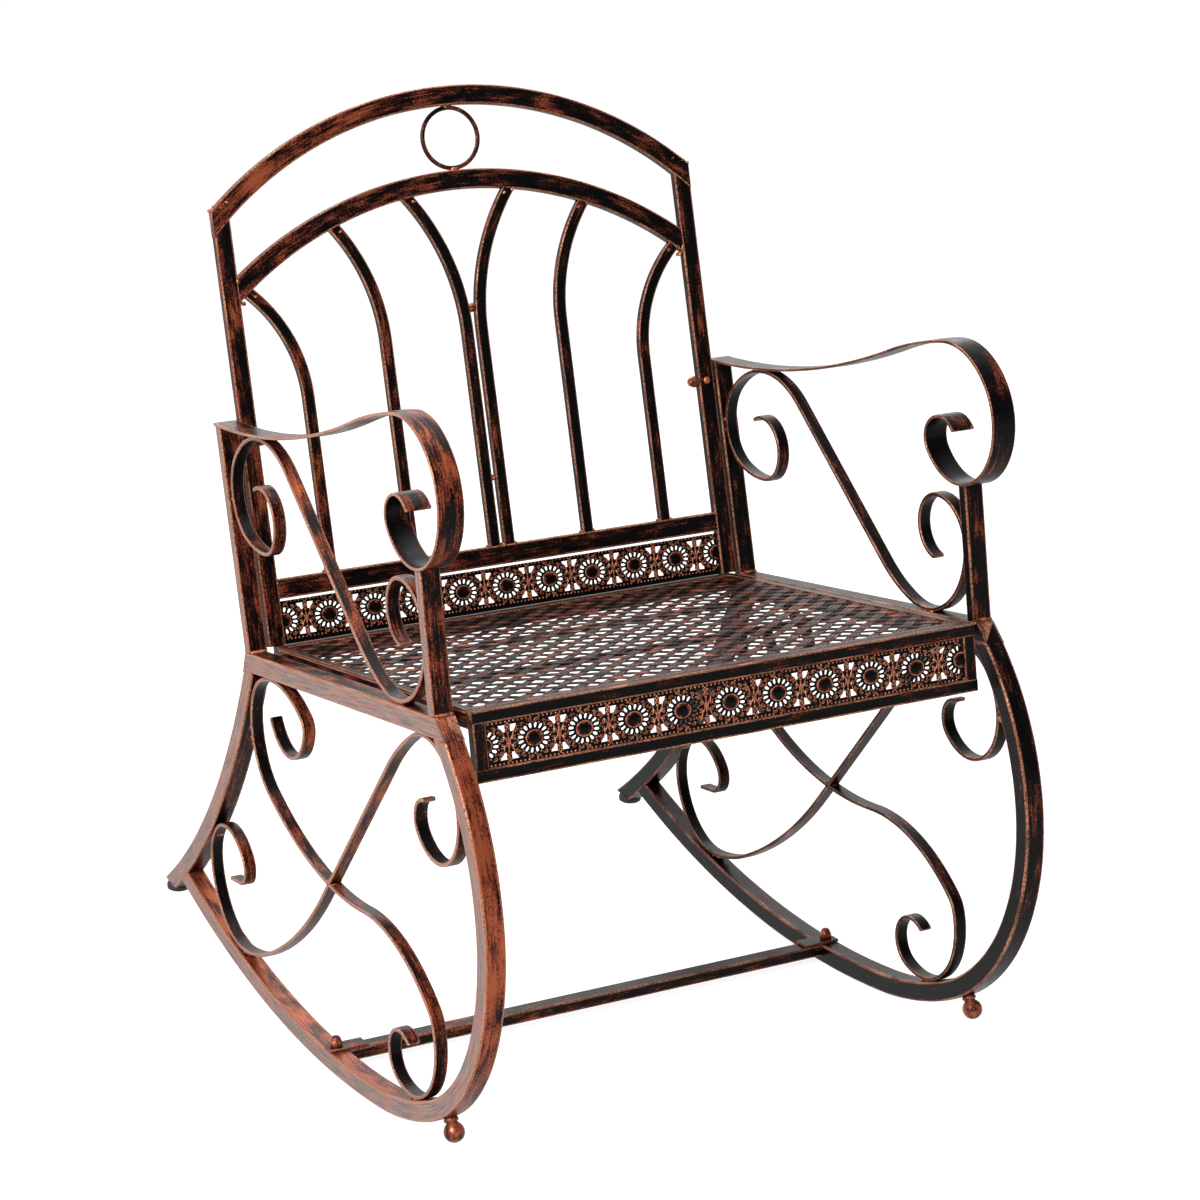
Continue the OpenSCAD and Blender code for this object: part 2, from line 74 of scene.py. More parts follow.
def planeAt(origin, first, second):
    # a drawing plane: origin in mm, two axes in it and the third square to both
    first, second = np.array(first, float), np.array(second, float)
    return np.array(origin, float), first, second, np.cross(first, second)


def sidePlane(x):
    # first axis to the rear along the rails, second axis up, third axis to +X
    t = math.radians(stance["tilt"])
    rear, up = (0, math.cos(t), -math.sin(t)), (0, math.sin(t), math.cos(t))
    return planeAt((x, stance["shiftY"], stance["lift"]), rear, up)


def backPlane():
    # first axis across the chair, second axis up the leaning back, third axis out of its front
    o, rear, up, across = sidePlane(0)
    lean = math.radians(stance["backLean"])
    upBack = up * math.cos(lean) + rear * math.sin(lean)
    return planeAt(o + rear * stance["backY"] + upBack * stance["backFoot"], across, upBack)


def seatPlane(z=0.0):
    # first axis across, second axis to the rear, third axis up out of the seat
    o, rear, up, across = sidePlane(0)
    return planeAt(o + up * z, across, rear)


def frontPlane(y):
    # first axis across, second axis up, third axis forward
    o, rear, up, across = sidePlane(0)
    return planeAt(o + rear * y, across, up)


def placed(plane, points):
    # from [x, y, z] on a plane's own axes to the chair: origin + x e1 + y e2 + z e3
    o, e1, e2, e3 = plane
    return o + points[..., :1] * e1 + points[..., 1:2] * e2 + points[..., 2:] * e3


def bendPath(start, bends, spacing=4.0):
    # rows [p, q, cos, sin] along a chain of bends [radius, turn], left turns positive; a turn of 0 is a straight
    # run of that length. On a bend the centre stays radius to the side, so p = p0 + k (sin b - sin a) and
    # q = q0 - k (cos b - cos a). Steps are at most the spacing and 9 degrees, or 30 mm on a straight run.
    p, q, a = start[0], start[1], math.radians(start[2])
    rows = [np.array([[p, q, math.cos(a), math.sin(a)]])]
    for radius, turn in bends:
        if turn == 0:
            n = max(1, int(radius / 30))
            s = np.linspace(0, radius, n + 1)[1:]
            part = [p + s * math.cos(a), q + s * math.sin(a), np.full(n, math.cos(a)), np.full(n, math.sin(a))]
        else:
            k, b = math.copysign(radius, turn), a + math.radians(turn)
            n = max(2, math.ceil(abs(b - a) * radius / spacing), math.ceil(abs(turn) / 9))
            h = np.linspace(a, b, n + 1)[1:]
            part = [p + k * (np.sin(h) - math.sin(a)), q - k * (np.cos(h) - math.cos(a)), np.cos(h), np.sin(h)]
            a = b
        rows.append(np.stack(part, 1))
        p, q = rows[-1][-1, :2]
    return np.concatenate(rows)


def stretched(path, alongP, alongQ):
    # the path scaled by a factor of its own in each direction, its headings turned to suit
    out = path * [alongP, alongQ, alongP, alongQ]
    out[:, 2:] /= np.linalg.norm(out[:, 2:], axis=1)[:, None]
    return out


def filledTo(path, loP, hiP, loQ, hiQ):
    # the path stretched and moved so that it just fills a box
    size = path[:, :2].max(0) - path[:, :2].min(0)
    out = stretched(path, (hiP - loP) / size[0], (hiQ - loQ) / size[1])
    out[:, :2] += np.array([loP, loQ]) - out[:, :2].min(0)
    return out


def straightPath(p0, q0, p1, q1, spacing=40.0):
    length = math.hypot(p1 - p0, q1 - q0)
    n = max(2, int(length / spacing))
    s = np.linspace(0, 1, n + 1)
    c, w = (p1 - p0) / length, (q1 - q0) / length
    return np.stack([p0 + (p1 - p0) * s, q0 + (q1 - q0) * s, np.full(n + 1, c), np.full(n + 1, w)], 1)


def beside(path, distance):
    # the line a distance to the left of a path
    out = path.copy()
    out[:, 0] -= distance * path[:, 3]
    out[:, 1] += distance * path[:, 2]
    return out


def onLine(path, q):
    # where a line that climbs or falls steadily passes a height
    order = np.argsort(path[:, 1])
    return float(np.interp(q, path[order, 1], path[order, 0]))


def cutThrough(a, b):
    # a cut line through two points, as [p, q, normal p, normal q]
    return (*a, -(b[1] - a[1]), b[0] - a[0])


def runLength(points):
    # how far along a line of points each of them lies
    return np.concatenate([[0], np.cumsum(np.linalg.norm(np.diff(points, axis=0), axis=1))])


def roundedBox(halfDeep, halfWide, corner, arcSteps=3):
    # a box section with rounded corners: rows [v in the plane, u across, cos, sin of the normal, distance to the
    # nearest corner]; the middle of each flat side has a row of its own
    rows = []
    for k, (sv, su) in enumerate([(1, 1), (-1, 1), (-1, -1), (1, -1)]):
        a = np.radians(np.linspace(k * 90, k * 90 + 90, arcSteps + 1))
        v = sv * (halfDeep - corner) + corner * np.cos(a)
        u = su * (halfWide - corner) + corner * np.sin(a)
        rows.append(np.stack([v, u, np.cos(a), np.sin(a), np.zeros_like(a)], 1))
        n = math.radians(k * 90 + 90)
        flat = halfDeep - corner if k % 2 == 0 else halfWide - corner
        mid = [halfDeep * round(math.cos(n)), halfWide * round(math.sin(n)), math.cos(n), math.sin(n), flat]
        rows.append(np.array([mid]))
    return np.concatenate(rows)


def setMeasures(mesh, measures):
    # one number per point for each measure that the paint reads
    for key, values in measures.items():
        attribute = mesh.attributes.new(key, "FLOAT", "POINT")
        attribute.data.foreach_set("value", values.reshape(-1).astype(np.float32))


def fromGrid(name, points, normals, uv, measures, capNormals=None, capUv=None):
    # a tube of rings: points [rings, around, 3] in mm, closed round each ring, with flat caps, or bent round on
    # itself where there are none
    n, m = points.shape[:2]
    i, j = np.meshgrid(np.arange(n if capNormals is None else n - 1), np.arange(m), indexing="ij")
    jn, after = (j + 1) % m, (i + 1) % n
    quads = np.stack([i * m + j, i * m + jn, after * m + jn, after * m + j], -1).reshape(-1, 4)
    faces = quads.tolist()
    uvRows = [np.stack([uv[0][ii], uv[1][jj]], -1) for ii, jj in ((i, j), (i, j + 1), (i + 1, j + 1), (i + 1, j))]
    loopUv = np.stack(uvRows, 2).reshape(-1, 2)
    loopNormal = normals.reshape(-1, 3)[quads.reshape(-1)]
    for end, capNormal in zip((0, n - 1), capNormals or []):
        ring = np.arange(m)[::-1] if end == 0 else np.arange(m)
        faces.append((ring + end * m).tolist())
        loopUv = np.concatenate([loopUv, capUv[ring] + uv[0][end]])
        loopNormal = np.concatenate([loopNormal, np.repeat(capNormal[None], m, 0)])
    mesh = bpy.data.meshes.new(name)
    mesh.from_pydata((points.reshape(-1, 3) / 1000).tolist(), [], faces)
    mesh.uv_layers.new(name="run").data.foreach_set("uv", loopUv.reshape(-1).astype(np.float32))
    setMeasures(mesh, measures)
    mesh.polygons.foreach_set("use_smooth", np.ones(len(faces), bool))
    mesh.normals_split_custom_set(loopNormal.tolist())
    return mesh


def addPiece(name, mesh, material, slotName, *nodes):
    obj = bpy.data.objects.new(name, mesh)
    bpy.context.collection.objects.link(obj)
    mesh.materials.append(material)
    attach(obj, "root")
    if nodes:
        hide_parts(*nodes)
    return obj


# Rub and painted shade on the bars. Hands and cloth took paint off; rub falls by leftward for each mm to the right, a
# painted shade that darkens the chair's right side away from the key lamp, and it falls by hollow inside the curls.
# The second table adds to single bars, or takes away, on faces that look forward or up, less and less to the right;
# that fade, and the back bars darkening more towards the right, are painted shade as well.
rubAndShade = {"leftward": 0.00017, "hollow": 0.2, "curlRadius": 80.0, "fadeShare": 0.5, "fadeWidth": 500.0}
wipedAndShaded = {"rockerLeft": 0.17, "armrestLeft": 0.03, "armScrollLeft": 0.06, "longScrollLeft": 0.05,
         "crossScrollLeft": 0.05, "outerArch": 0.07, "apronTop": -0.15, "apronBottom": -0.2, "apronEndLeft": -0.12,
         "backBar3": -0.2, "backBar4": -0.2, "backBar5": -0.3, "backBar6": -0.5}
# made counts the bars, and patternStep moves the paint's pattern on from one to the next, in metres along and
# around. Rings less than clear ahead of a cut, and within cutReach of it, are left out.
bars = {"made": 0, "patternStep": (0.37, 0.2257), "endRound": 1.2, "clear": 0.3, "cutReach": 40.0, "farEnd": 50.0}


def roundEnds(path, soft, freeEnds):
    # each free end gets three rings on a quarter circle of the soft radius; insets say how far each is drawn in
    depth, insets = np.array([0.0, 0.293, 1.0]) * soft, np.zeros(len(path))
    for free, end in zip(freeEnds, (0, -1)):
        if free:
            head = path[end][None].repeat(3, 0)
            head[:, :2] += (1 if end == 0 else -1) * depth[:, None] * head[:, 2:]
            if end == 0:
                path, insets = np.concatenate([head, path[1:]]), np.concatenate([depth[::-1], insets[1:]])
            else:
                path, insets = np.concatenate([path[:-1], head[::-1]]), np.concatenate([insets[:-1], depth])
    return path, insets


def slideToCuts(path, flat, along, cuts):
    # a cut [p, q, normal p, normal q] slides the first or last ring along the bar onto that line: by the distance
    # to the line over the cosine between bar and normal. The rings that it passes are marked to be left out.
    stay = np.ones(len(path), bool)
    for cut, end in zip(cuts, (0, -1)):
        if cut is not None:
            c, heading = np.array(cut, float), path[end, 2:]
            slide = ((c[:2] - flat[end]) @ c[2:]) / (heading @ c[2:])
            flat[end] += slide[:, None] * heading
            ahead = (flat[end] - flat) @ heading * (1 if end else -1)
            stay &= (ahead.min(1) > bars["clear"]) | (np.abs(along - along[end]) > bars["cutReach"])
            stay[end] = True
    return stay


def barMesh(name, path, plane, deep, wide, corner, cuts=(None, None), freeEnds=(False, False)):
    # a rounded box section carried along a path in a plane: point = origin + (p - v sin) e1 + (q + v cos) e2
    # + u e3. The outward measure is 1 on faces that look away from the chair's middle, where hands and cloth reach,
    #   and -1 on
    # those that look inward; it adds a little rub and places a painted pale sheen. The polish measure follows the rub
    # tables, painted shade to the right included, and cornerGap is the distance to the nearest edge.
    bars["made"] += 1
    section = roundedBox(deep / 2, wide / 2, corner)
    path, insets = roundEnds(path, min(corner, bars["endRound"]), freeEnds)
    origin, e1, e2, e3 = plane
    sv, su, nv, nu, toCorner = section.T
    v, u = (edge - insets[:, None] * np.sign(edge) for edge in (sv, su))
    flat = np.stack([path[:, None, 0] - v * path[:, None, 3], path[:, None, 1] + v * path[:, None, 2]], -1)
    along = runLength(path[:, :2])
    stay = slideToCuts(path, flat, along, cuts)
    path, flat, u, along = path[stay], flat[stay], u[stay], along[stay]
    points = placed(plane, np.concatenate([flat, u[..., None]], -1))
    inPlane = path[:, None, 2:3] * e2 - path[:, None, 3:4] * e1
    normals = nv[:, None] * inPlane + nu[:, None] * e3
    fromEnds = np.full(len(path), bars["farEnd"])
    for free, distance in zip(freeEnds, (along, along[-1] - along)):
        if free:
            fromEnds = np.minimum(fromEnds, distance)
    ends = [-(path[0, 2] * e1 + path[0, 3] * e2), path[-1, 2] * e1 + path[-1, 3] * e2]
    for k, cut in enumerate(cuts):
        if cut is not None:
            square = (cut[2] * e1 + cut[3] * e2) / math.hypot(cut[2], cut[3])
            ends[k] = square * np.sign(square @ ends[k])
    # faces that look forward or up take each bar's extra rub, fading off to the right as painted shade; the rub also
    # falls for each mm to the right, a painted shade on the chair's right side
    reached = np.clip(np.maximum(-normals[..., 1], normals[..., 2]), 0, 1)
    reached *= np.clip(rubAndShade["fadeShare"] - points[..., 0] / rubAndShade["fadeWidth"], 0, 1)
    turning = np.gradient(np.unwrap(np.arctan2(path[:, 3], path[:, 2]))) / np.maximum(np.gradient(along), 1e-6)
    hollow = np.clip(nv * np.clip(turning * rubAndShade["curlRadius"], -1, 1)[:, None], 0, 1)
    polishAndShade = wipedAndShaded.get(name, 0) * reached - rubAndShade["leftward"] * points[..., 0] - rubAndShade["hollow"] * hollow
    # the outward measure also places the painted pale sheen that the paint lays on outward faces
    measures = {"cornerGap": np.minimum(toCorner, fromEnds[:, None]), "wearAndSheen": normals[..., 0] * np.sign(origin[0]),
                "polishAndShade": polishAndShade}
    # the pattern starts elsewhere on each bar
    uv = (along / 1000 + bars["patternStep"][0] * bars["made"],
          runLength(np.vstack([section[:, :2], section[:1, :2]])) / 1000 + bars["patternStep"][1] * bars["made"])
    return fromGrid(name, points, normals, uv, measures, ends, section[:, :2] / 1000)


def addBar(name, node, *shape, **ends):
    # a painted bar; node is the CAD node that it stands for, or None where another piece stands for that already
    addPiece(name, barMesh(name, *shape, **ends), barFinish, "antique_bronze", *([node] if node else []))


def welded(mesh):
    # the points that fall together at poles and seams become one, so every surface is closed
    shell = bmesh.new()
    shell.from_mesh(mesh)
    bmesh.ops.remove_doubles(shell, verts=shell.verts, dist=2e-7)
    shell.to_mesh(mesh)
    shell.free()
    return mesh


def joinGrids(name, parts, reliefs=None, first=None):
    # many small surfaces in one mesh: each part is points [rows, cols, 3] in mm, closed round the columns, its
    # first and last row drawn in to one point; first is (points, faces) of flat sheet before them, with relief 0
    allPoints, allFaces, base = ([], [], 0) if first is None else ([first[0]], list(first[1]), len(first[0]))
    relief, flatFaces = [np.zeros(base)], len(allFaces)
    for k, points in enumerate(parts):
        n, m = points.shape[:2]
        i, j = np.meshgrid(np.arange(n - 1), np.arange(m), indexing="ij")
        jn = (j + 1) % m
        quads = np.stack([i * m + j, i * m + jn, (i + 1) * m + jn, (i + 1) * m + j], -1)
        allFaces += (quads.reshape(-1, 4) + base).tolist()
        allPoints.append(points.reshape(-1, 3))
        relief.append(np.ones(n * m) if reliefs is None else np.broadcast_to(reliefs[k], (n, m)).reshape(-1))
        base += n * m
    mesh = bpy.data.meshes.new(name)
    mesh.from_pydata((np.concatenate(allPoints) / 1000).tolist(), [], allFaces)
    setMeasures(mesh, {"relief": np.concatenate(relief)})
    mesh.polygons.foreach_set("use_smooth", np.arange(len(allFaces)) >= flatFaces)
    return welded(mesh)


def addLumps(name, parts, finish, slotName, *nodes):
    addPiece(name, joinGrids(name, parts), finish, slotName, *nodes)


def turned(profile, centre, axis, cols=24):
    # a profile of [radius, height] turned round an axis: point = centre + height axis + radius (cos s + sin t)
    axis = np.array(axis, float) / np.linalg.norm(axis)
    side = np.cross(axis, [1.0, 0, 0]) if abs(axis[0]) < 0.9 else np.cross(axis, [0, 1.0, 0])
    side /= np.linalg.norm(side)
    other = np.cross(axis, side)
    a = np.linspace(0, 2 * np.pi, cols, endpoint=False)
    ring = np.cos(a)[:, None] * side + np.sin(a)[:, None] * other
    profile = np.array(profile, float)
    return np.array(centre) + profile[:, 1, None, None] * axis + profile[:, 0, None, None] * ring[None]


def weldBead(centre, axes, seed, rows=8, cols=12):
    # a lumpy pebble: an ellipsoid whose radius swells and sinks by up to a quarter in a few soft waves
    rng = np.random.default_rng(seed)
    lat = np.linspace(np.pi, 0, rows)[:, None]
    lon = np.linspace(0, 2 * np.pi, cols, endpoint=False)[None]
    w = rng.uniform(0, 6.28, 4)
    r = 1 + 0.11 * np.sin(3 * lon + w[0]) * np.sin(lat) + 0.09 * np.sin(5 * lat + w[1])
    r = r + 0.07 * np.sin(2 * lon + 4 * lat + w[2])
    unit = np.stack([r * np.sin(lat) * np.cos(lon), r * np.sin(lat) * np.sin(lon), r * np.cos(lat)], -1)
    return np.array(centre) + unit @ np.array(axes, float)


# The paint: near-black where it is whole, brown where it is wiped thin, copper where it is rubbed through, palest
# on edges and crests, where rubbed copper carries a painted highlight; outward faces take a painted pale sheen. thin,
# bare, patches and the sheen's limits are limits of a measure; lineBreaks are those of the grit that breaks up a
# bright edge.
paint = {"black": "#070606", "brown": "#461c12", "copper": "#a35437", "edgeCopperAndHighlight": "#cf8a6b", "pale": "#9c877f",
         "thin": (0.41, 0.58), "bare": (0.5, 0.82), "paintedSheen": (1.0, 1.8), "patches": (0.3, 0.7),
         "lineBreaks": (0.36, 0.6), "lineLeast": 0.15, "metal": 0.65, "grainDetail": 3.5, "grainRough": 0.6,
         "bumpStrength": 0.5}
smooth, mixColours = {"interpolation_type": "SMOOTHSTEP"}, {"data_type": "RGBA"}
multiply, multiplyAdd = {"operation": "MULTIPLY"}, {"operation": "MULTIPLY_ADD"}


def rubbedPaint(look):
    # Steel sprayed near-black and wiped back by hand to its copper coat. rub = level + share of each grain and of
    # each measure; the palest colour, rubbed copper with a painted highlight, sits where the edge measure, roughened
    # by the first grain, passes its limits.
    material, tree = newMaterial(look["name"])
    if look["space"] == "run":
        place = addNode(tree, "ShaderNodeUVMap", {"uv_map": "run"}).outputs[0]
    else:
        place = addNode(tree, "ShaderNodeTexCoord").outputs["Object"]
    rub, grains = look["level"], []
    for scale, share in look["grains"]:
        space = addNode(tree, "ShaderNodeMapping", None, {"Vector": place, "Scale": scale}).outputs[0]
        grains.append(addNode(tree, "ShaderNodeTexNoise", None, {
            "Vector": space, "Scale": 1.0, "Detail": paint["grainDetail"],
            "Roughness": paint["grainRough"]}).outputs[0])
        rub = addNode(tree, "ShaderNodeMath", multiplyAdd, {0: grains[-1], 1: share, 2: rub}).outputs[0]
    for name, share in look["shares"]:
        measure = addNode(tree, "ShaderNodeAttribute", {"attribute_name": name}).outputs["Fac"]
        rub = addNode(tree, "ShaderNodeMath", multiplyAdd, {0: measure, 1: share, 2: rub}).outputs[0]
    thin, bare = (addNode(tree, "ShaderNodeMapRange", smooth, {
        "Value": rub, "From Min": paint[key][0], "From Max": paint[key][1]}).outputs[0] for key in ("thin", "bare"))
    # edges: the measure wobbles by the patches, and fine grit breaks the line up; the edge colour is a painted
    # highlight on rubbed copper
    name, low, high, wobble, strength = look["edge"]
    measure = addNode(tree, "ShaderNodeAttribute", {"attribute_name": name}).outputs["Fac"]
    wavy = addNode(tree, "ShaderNodeMath", multiplyAdd, {0: grains[0], 1: wobble, 2: measure}).outputs[0]
    edge = addNode(tree, "ShaderNodeMapRange", smooth, {
        "Value": wavy, "From Min": low + wobble / 2, "From Max": high + wobble / 2}).outputs[0]
    broken = addNode(tree, "ShaderNodeMapRange", smooth, {
        "Value": grains[-1], "From Min": paint["lineBreaks"][0], "From Max": paint["lineBreaks"][1],
        "To Min": paint["lineLeast"], "To Max": strength}).outputs[0]
    edge = addNode(tree, "ShaderNodeMath", multiply, {0: edge, 1: broken}).outputs[0]
    layers = [(thin, "brown"), (bare, "copper")]
    if "paintedSheen" in look:
        # painted sheen: faces that look away from the chair's middle are made paler in streaks, as the glare of light
        # on them
        measure = addNode(tree, "ShaderNodeAttribute", {"attribute_name": "wearAndSheen"}).outputs["Fac"]
        paintedSheen = addNode(tree, "ShaderNodeMath", {"operation": "ADD"}, {0: measure, 1: grains[1]}).outputs[0]
        layers.append((addNode(tree, "ShaderNodeMapRange", smooth, {
            "Value": paintedSheen, "From Min": paint["paintedSheen"][0], "From Max": paint["paintedSheen"][1],
            "To Max": look["paintedSheen"]}).outputs[0], "pale"))
    colour = toLinear(paint["black"])
    for share, colourName in layers + [(edge, "edgeCopperAndHighlight")]:
        colour = addNode(tree, "ShaderNodeMix", mixColours, {
            0: share, 6: colour, 7: toLinear(paint[colourName])}).outputs[2]
    shine = addNode(tree, "ShaderNodeMath", {"operation": "MAXIMUM"}, {0: bare, 1: edge}).outputs[0]
    metal = addNode(tree, "ShaderNodeMath", multiply, {0: shine, 1: paint["metal"]}).outputs[0]
    rough = addNode(tree, "ShaderNodeMapRange", None, {
        "Value": grains[0], "From Min": paint["patches"][0], "From Max": paint["patches"][1],
        "To Min": look["rough"][0], "To Max": look["rough"][1]}).outputs[0]
    bump = addNode(tree, "ShaderNodeBump", None, {
        "Strength": paint["bumpStrength"], "Distance": look["bump"] / 1000, "Height": grains[-1]}).outputs[0]
    shader = addNode(tree, "ShaderNodeBsdfPrincipled", None, {
        "Base Color": colour, "Metallic": metal, "Roughness": rough, "Normal": bump,
        "Specular IOR Level": look["gloss"]})
    addNode(tree, "ShaderNodeOutputMaterial", None, {"Surface": shader.outputs[0]})
    return material


def mouldedGlide():
    # Moulded black nylon: matt, with a faint grain of 0.7 mm
    material, tree = newMaterial("mouldedGlide")
    place = addNode(tree, "ShaderNodeTexCoord").outputs["Object"]
    grain = addNode(tree, "ShaderNodeTexNoise", None, {"Vector": place, "Scale": 1400.0, "Detail": 2.0}).outputs[0]
    colour = addNode(tree, "ShaderNodeMix", mixColours, {
        0: grain, 6: toLinear("#100d0c"), 7: toLinear("#241d1a")}).outputs[2]
    bump = addNode(tree, "ShaderNodeBump", None, {"Strength": 0.3, "Distance": 0.0001, "Height": grain}).outputs[0]
    shader = addNode(tree, "ShaderNodeBsdfPrincipled", None, {
        "Roughness": 0.55, "Base Color": colour, "Normal": bump})
    addNode(tree, "ShaderNodeOutputMaterial", None, {"Surface": shader.outputs[0]})
    return material


# Grains are (grains per metre in each direction, share). Edges are (measure, from, to, wobble, strength). Bumps are
# in mm.
# Tube and flat bar, wiped by hand: ragged copper clouds of 38 by 13 mm, streaks 1.6 mm wide and 42 mm long, grit of
# 2 mm, a thin bright line on the corners, rubbed copper with a painted highlight, and a painted pale sheen on faces
# that look outward
barFinish = rubbedPaint({
    "name": "wipedBronzeBar", "space": "run", "level": -0.72, "gloss": 0.1, "rough": (0.24, 0.42), "bump": 0.25,
    "grains": [((26, 75, 1), 1.05), ((24, 640, 1), 0.65), ((420, 520, 1), 0.6)],
    "shares": [("wearAndSheen", 0.09), ("polishAndShade", 1.0)], "edge": ("cornerGap", 0.4, -0.4, 1.4, 0.95), "paintedSheen": 0.65})
# Weld beads: lumps that stand proud, so the cloth took most of their paint, and they glint copper, with pale painted
# glints in patches
weldFinish = rubbedPaint({
    "name": "wipedWeldBead", "space": "object", "level": 0.06, "gloss": 0.2, "rough": (0.26, 0.4), "bump": 0.5,
    "grains": [((160, 160, 160), 0.9), ((900, 900, 900), 0.3)], "shares": [],
    "edge": ("relief", 0.9, 1.2, 1.2, 0.9)})
# Ball feet and dome nuts: turned lumps, rubbed the same way but smooth, with the same pale painted glints
ballFinish = rubbedPaint({
    "name": "wipedTurnedKnob", "space": "object", "level": 0.05, "gloss": 0.2, "rough": (0.24, 0.36), "bump": 0.12,
    "grains": [((120, 120, 120), 0.85), ((900, 900, 900), 0.3)], "shares": [],
    "edge": ("relief", 0.95, 1.3, 1.0, 0.8)})
# Spacers and cross bars under the seat: the cloth hardly reached them, so they stay near black
hiddenFinish = rubbedPaint({
    "name": "unwipedBronze", "space": "object", "level": -0.2, "gloss": 0.1, "rough": (0.34, 0.5), "bump": 0.2,
    "grains": [((20, 160, 160), 1.0), ((700, 700, 700), 0.35)], "shares": [],
    "edge": ("relief", 0.8, 1.2, 0.3, 0.5)})
# Stamped strip: paint stays on the plate, and the beads, curls and rims standing on it are rubbed to copper and carry
# a painted pale highlight
stripFinish = rubbedPaint({
    "name": "stampedDaisyStrip", "space": "object", "level": -0.43, "gloss": 0.08, "rough": (0.22, 0.36),
    "bump": 0.15, "grains": [((220, 220, 220), 0.8), ((1100, 1100, 1100), 0.25)], "shares": [("relief", 0.54)],
    "edge": ("relief", 0.7, 1.25, 1.1, 1.0)})
# Punched sheet: dark strands, brown in clouds of 45 mm, and copper only along the crests of their ribs, where a pale
# painted glint sits too
weaveFinish = rubbedPaint({
    "name": "punchedWeave", "space": "run", "level": -0.58, "gloss": 0.04, "rough": (0.26, 0.42), "bump": 0.2,
    "grains": [((22, 22, 1), 1.1), ((40, 900, 1), 0.45), ((500, 500, 1), 0.3)], "shares": [("relief", 0.22)],
    "edge": ("relief", 0.6, 1.15, 1.0, 0.95)})
glideFinish = mouldedGlide()
print("materials made")

# Side frames. Starts are (p, q, heading), bends are rows (radius, turn), and a box is the (lowest p, highest p,
# lowest q, highest q) that a scroll fills.
sideFrame = {"tube": 20.0, "tubeCorner": 2.0, "legHeight": 412.0, "footSlope": 13.0, "footTail": 6.0,
             "railFrom": -246.0, "railTo": 233.0, "railTop": (-240.0, 230.0), "rockerStart": (-240, 0, 227),
             "rockerBends": [(250, 43), (235, 74), (450, 16), (1150, 30)], "legStart": (209, -8, -57),
             "legBends": [(841, 31)], "headGap": 1.0, "footGap": 4.0}  # gaps: room left before a cut
post = {"deep": 12.0, "corner": 1.5, "frontY": -232.0, "frontGap": 0.5, "rearY": 224.0, "rearTop": 228.5}
armrest = {"wide": 25.0, "thick": 3.0, "corner": 1.0, "spacing": 3.0, "start": (248, 229, 185),
           "bends": [(12, 0), (1140, -18), (500, 11), (80, 63), (63, 178), (20, 75), (28, 105)]}
scrollBar = {"wide": 13.0, "thick": 4.0, "corner": 1.1, "spacing": 3.0}
scrolls = {
    "arm": {"start": (167, 168, 154), "box": (-223.8, 229.8, 2.2, 219.99),
            "bends": [(33, 207), (109, 25), (49, 115), (100, 85), (208, 0), (154, -22), (74, -105), (46, -99),
                      (32, -162)]},
    "long": {"start": (195, -63, 253), "box": (-160, 244.2, -381.05, -22.2),
             "bends": [(48, -138), (14, -74), (115, -54), (54, -56), (71, -75), (405, -35), (198, 47), (27, 32),
                       (69, 129), (26, 104), (29, 95)]},
    "cross": {"start": (359, -256, 181), "box": (-261.5, 412.8, -330.6, -22.2),
              "bends": [(28, 0), (18.5, -120), (54.5, -51), (52.5, -104), (77.5, -85), (224, -19), (545, -20.5),
                        (256.5, 0), (264, 17), (64, 103), (52.5, 149.5), (21, 138)]}}
armPath = bendPath(armrest["start"], armrest["bends"], armrest["spacing"])
scrollPaths = {name: filledTo(bendPath(curl["start"], curl["bends"], scrollBar["spacing"]), *curl["box"])
               for name, curl in scrolls.items()}

tube, lowLine = sideFrame["tube"], -sideFrame["tube"]
runnerRow = 60  # the rows of the rocker past its bowed leg
rockerRaw = bendPath(sideFrame["rockerStart"], sideFrame["rockerBends"])
rockerPath = stretched(rockerRaw, 1, -sideFrame["legHeight"] / rockerRaw[:, 1].min())
legPath = bendPath(sideFrame["legStart"], sideFrame["legBends"])
rockerMid, legMid = beside(rockerPath, tube / 2), beside(legPath, tube / 2)
rockerIn, legFront = beside(rockerPath, tube), beside(legPath, tube)
# rocker: cut level under the rail, and at the rear along the front of the rear leg
underRail = np.maximum(rockerPath[:, 1], rockerIn[:, 1]) < lowLine - sideFrame["headGap"]
rockerBar = rockerMid[underRail | (np.arange(len(rockerPath)) > runnerRow)]
meet = int(np.argmin(np.abs(
    legPath[:, 1] - np.interp(legPath[:, 0], rockerMid[runnerRow:, 0], rockerMid[runnerRow:, 1]))))
legCut = (*legPath[meet, :2], -legPath[meet, 3], legPath[meet, 2])
toLeg = (rockerBar[:, :2] - legPath[meet, :2]) @ np.array([legPath[meet, 3], -legPath[meet, 2]])
rockerBar = rockerBar[(toLeg > sideFrame["footGap"]) | (np.arange(len(rockerBar)) < len(rockerBar) // 2)]
# rear leg: cut level under the rail, and along the sloping top of its disc foot
footAt, legEnd, footSlope = legMid[-1, :2], legPath[-1, 2:], math.radians(sideFrame["footSlope"])
legBar = legMid[np.maximum(legPath[:, 1], legFront[:, 1]) < lowLine - sideFrame["headGap"]]
legBar = np.concatenate([legBar, [[*(footAt + sideFrame["footTail"] * legEnd), *legEnd]]])
footCut = (*footAt, -math.sin(footSlope), math.cos(footSlope))
railFront, railRear = ((onLine(line, lowLine), lowLine) for line in (rockerPath[:runnerRow], legFront))
railCuts = [cutThrough((topY, 0), foot) for topY, foot in zip(sideFrame["railTop"], (railFront, railRear))]

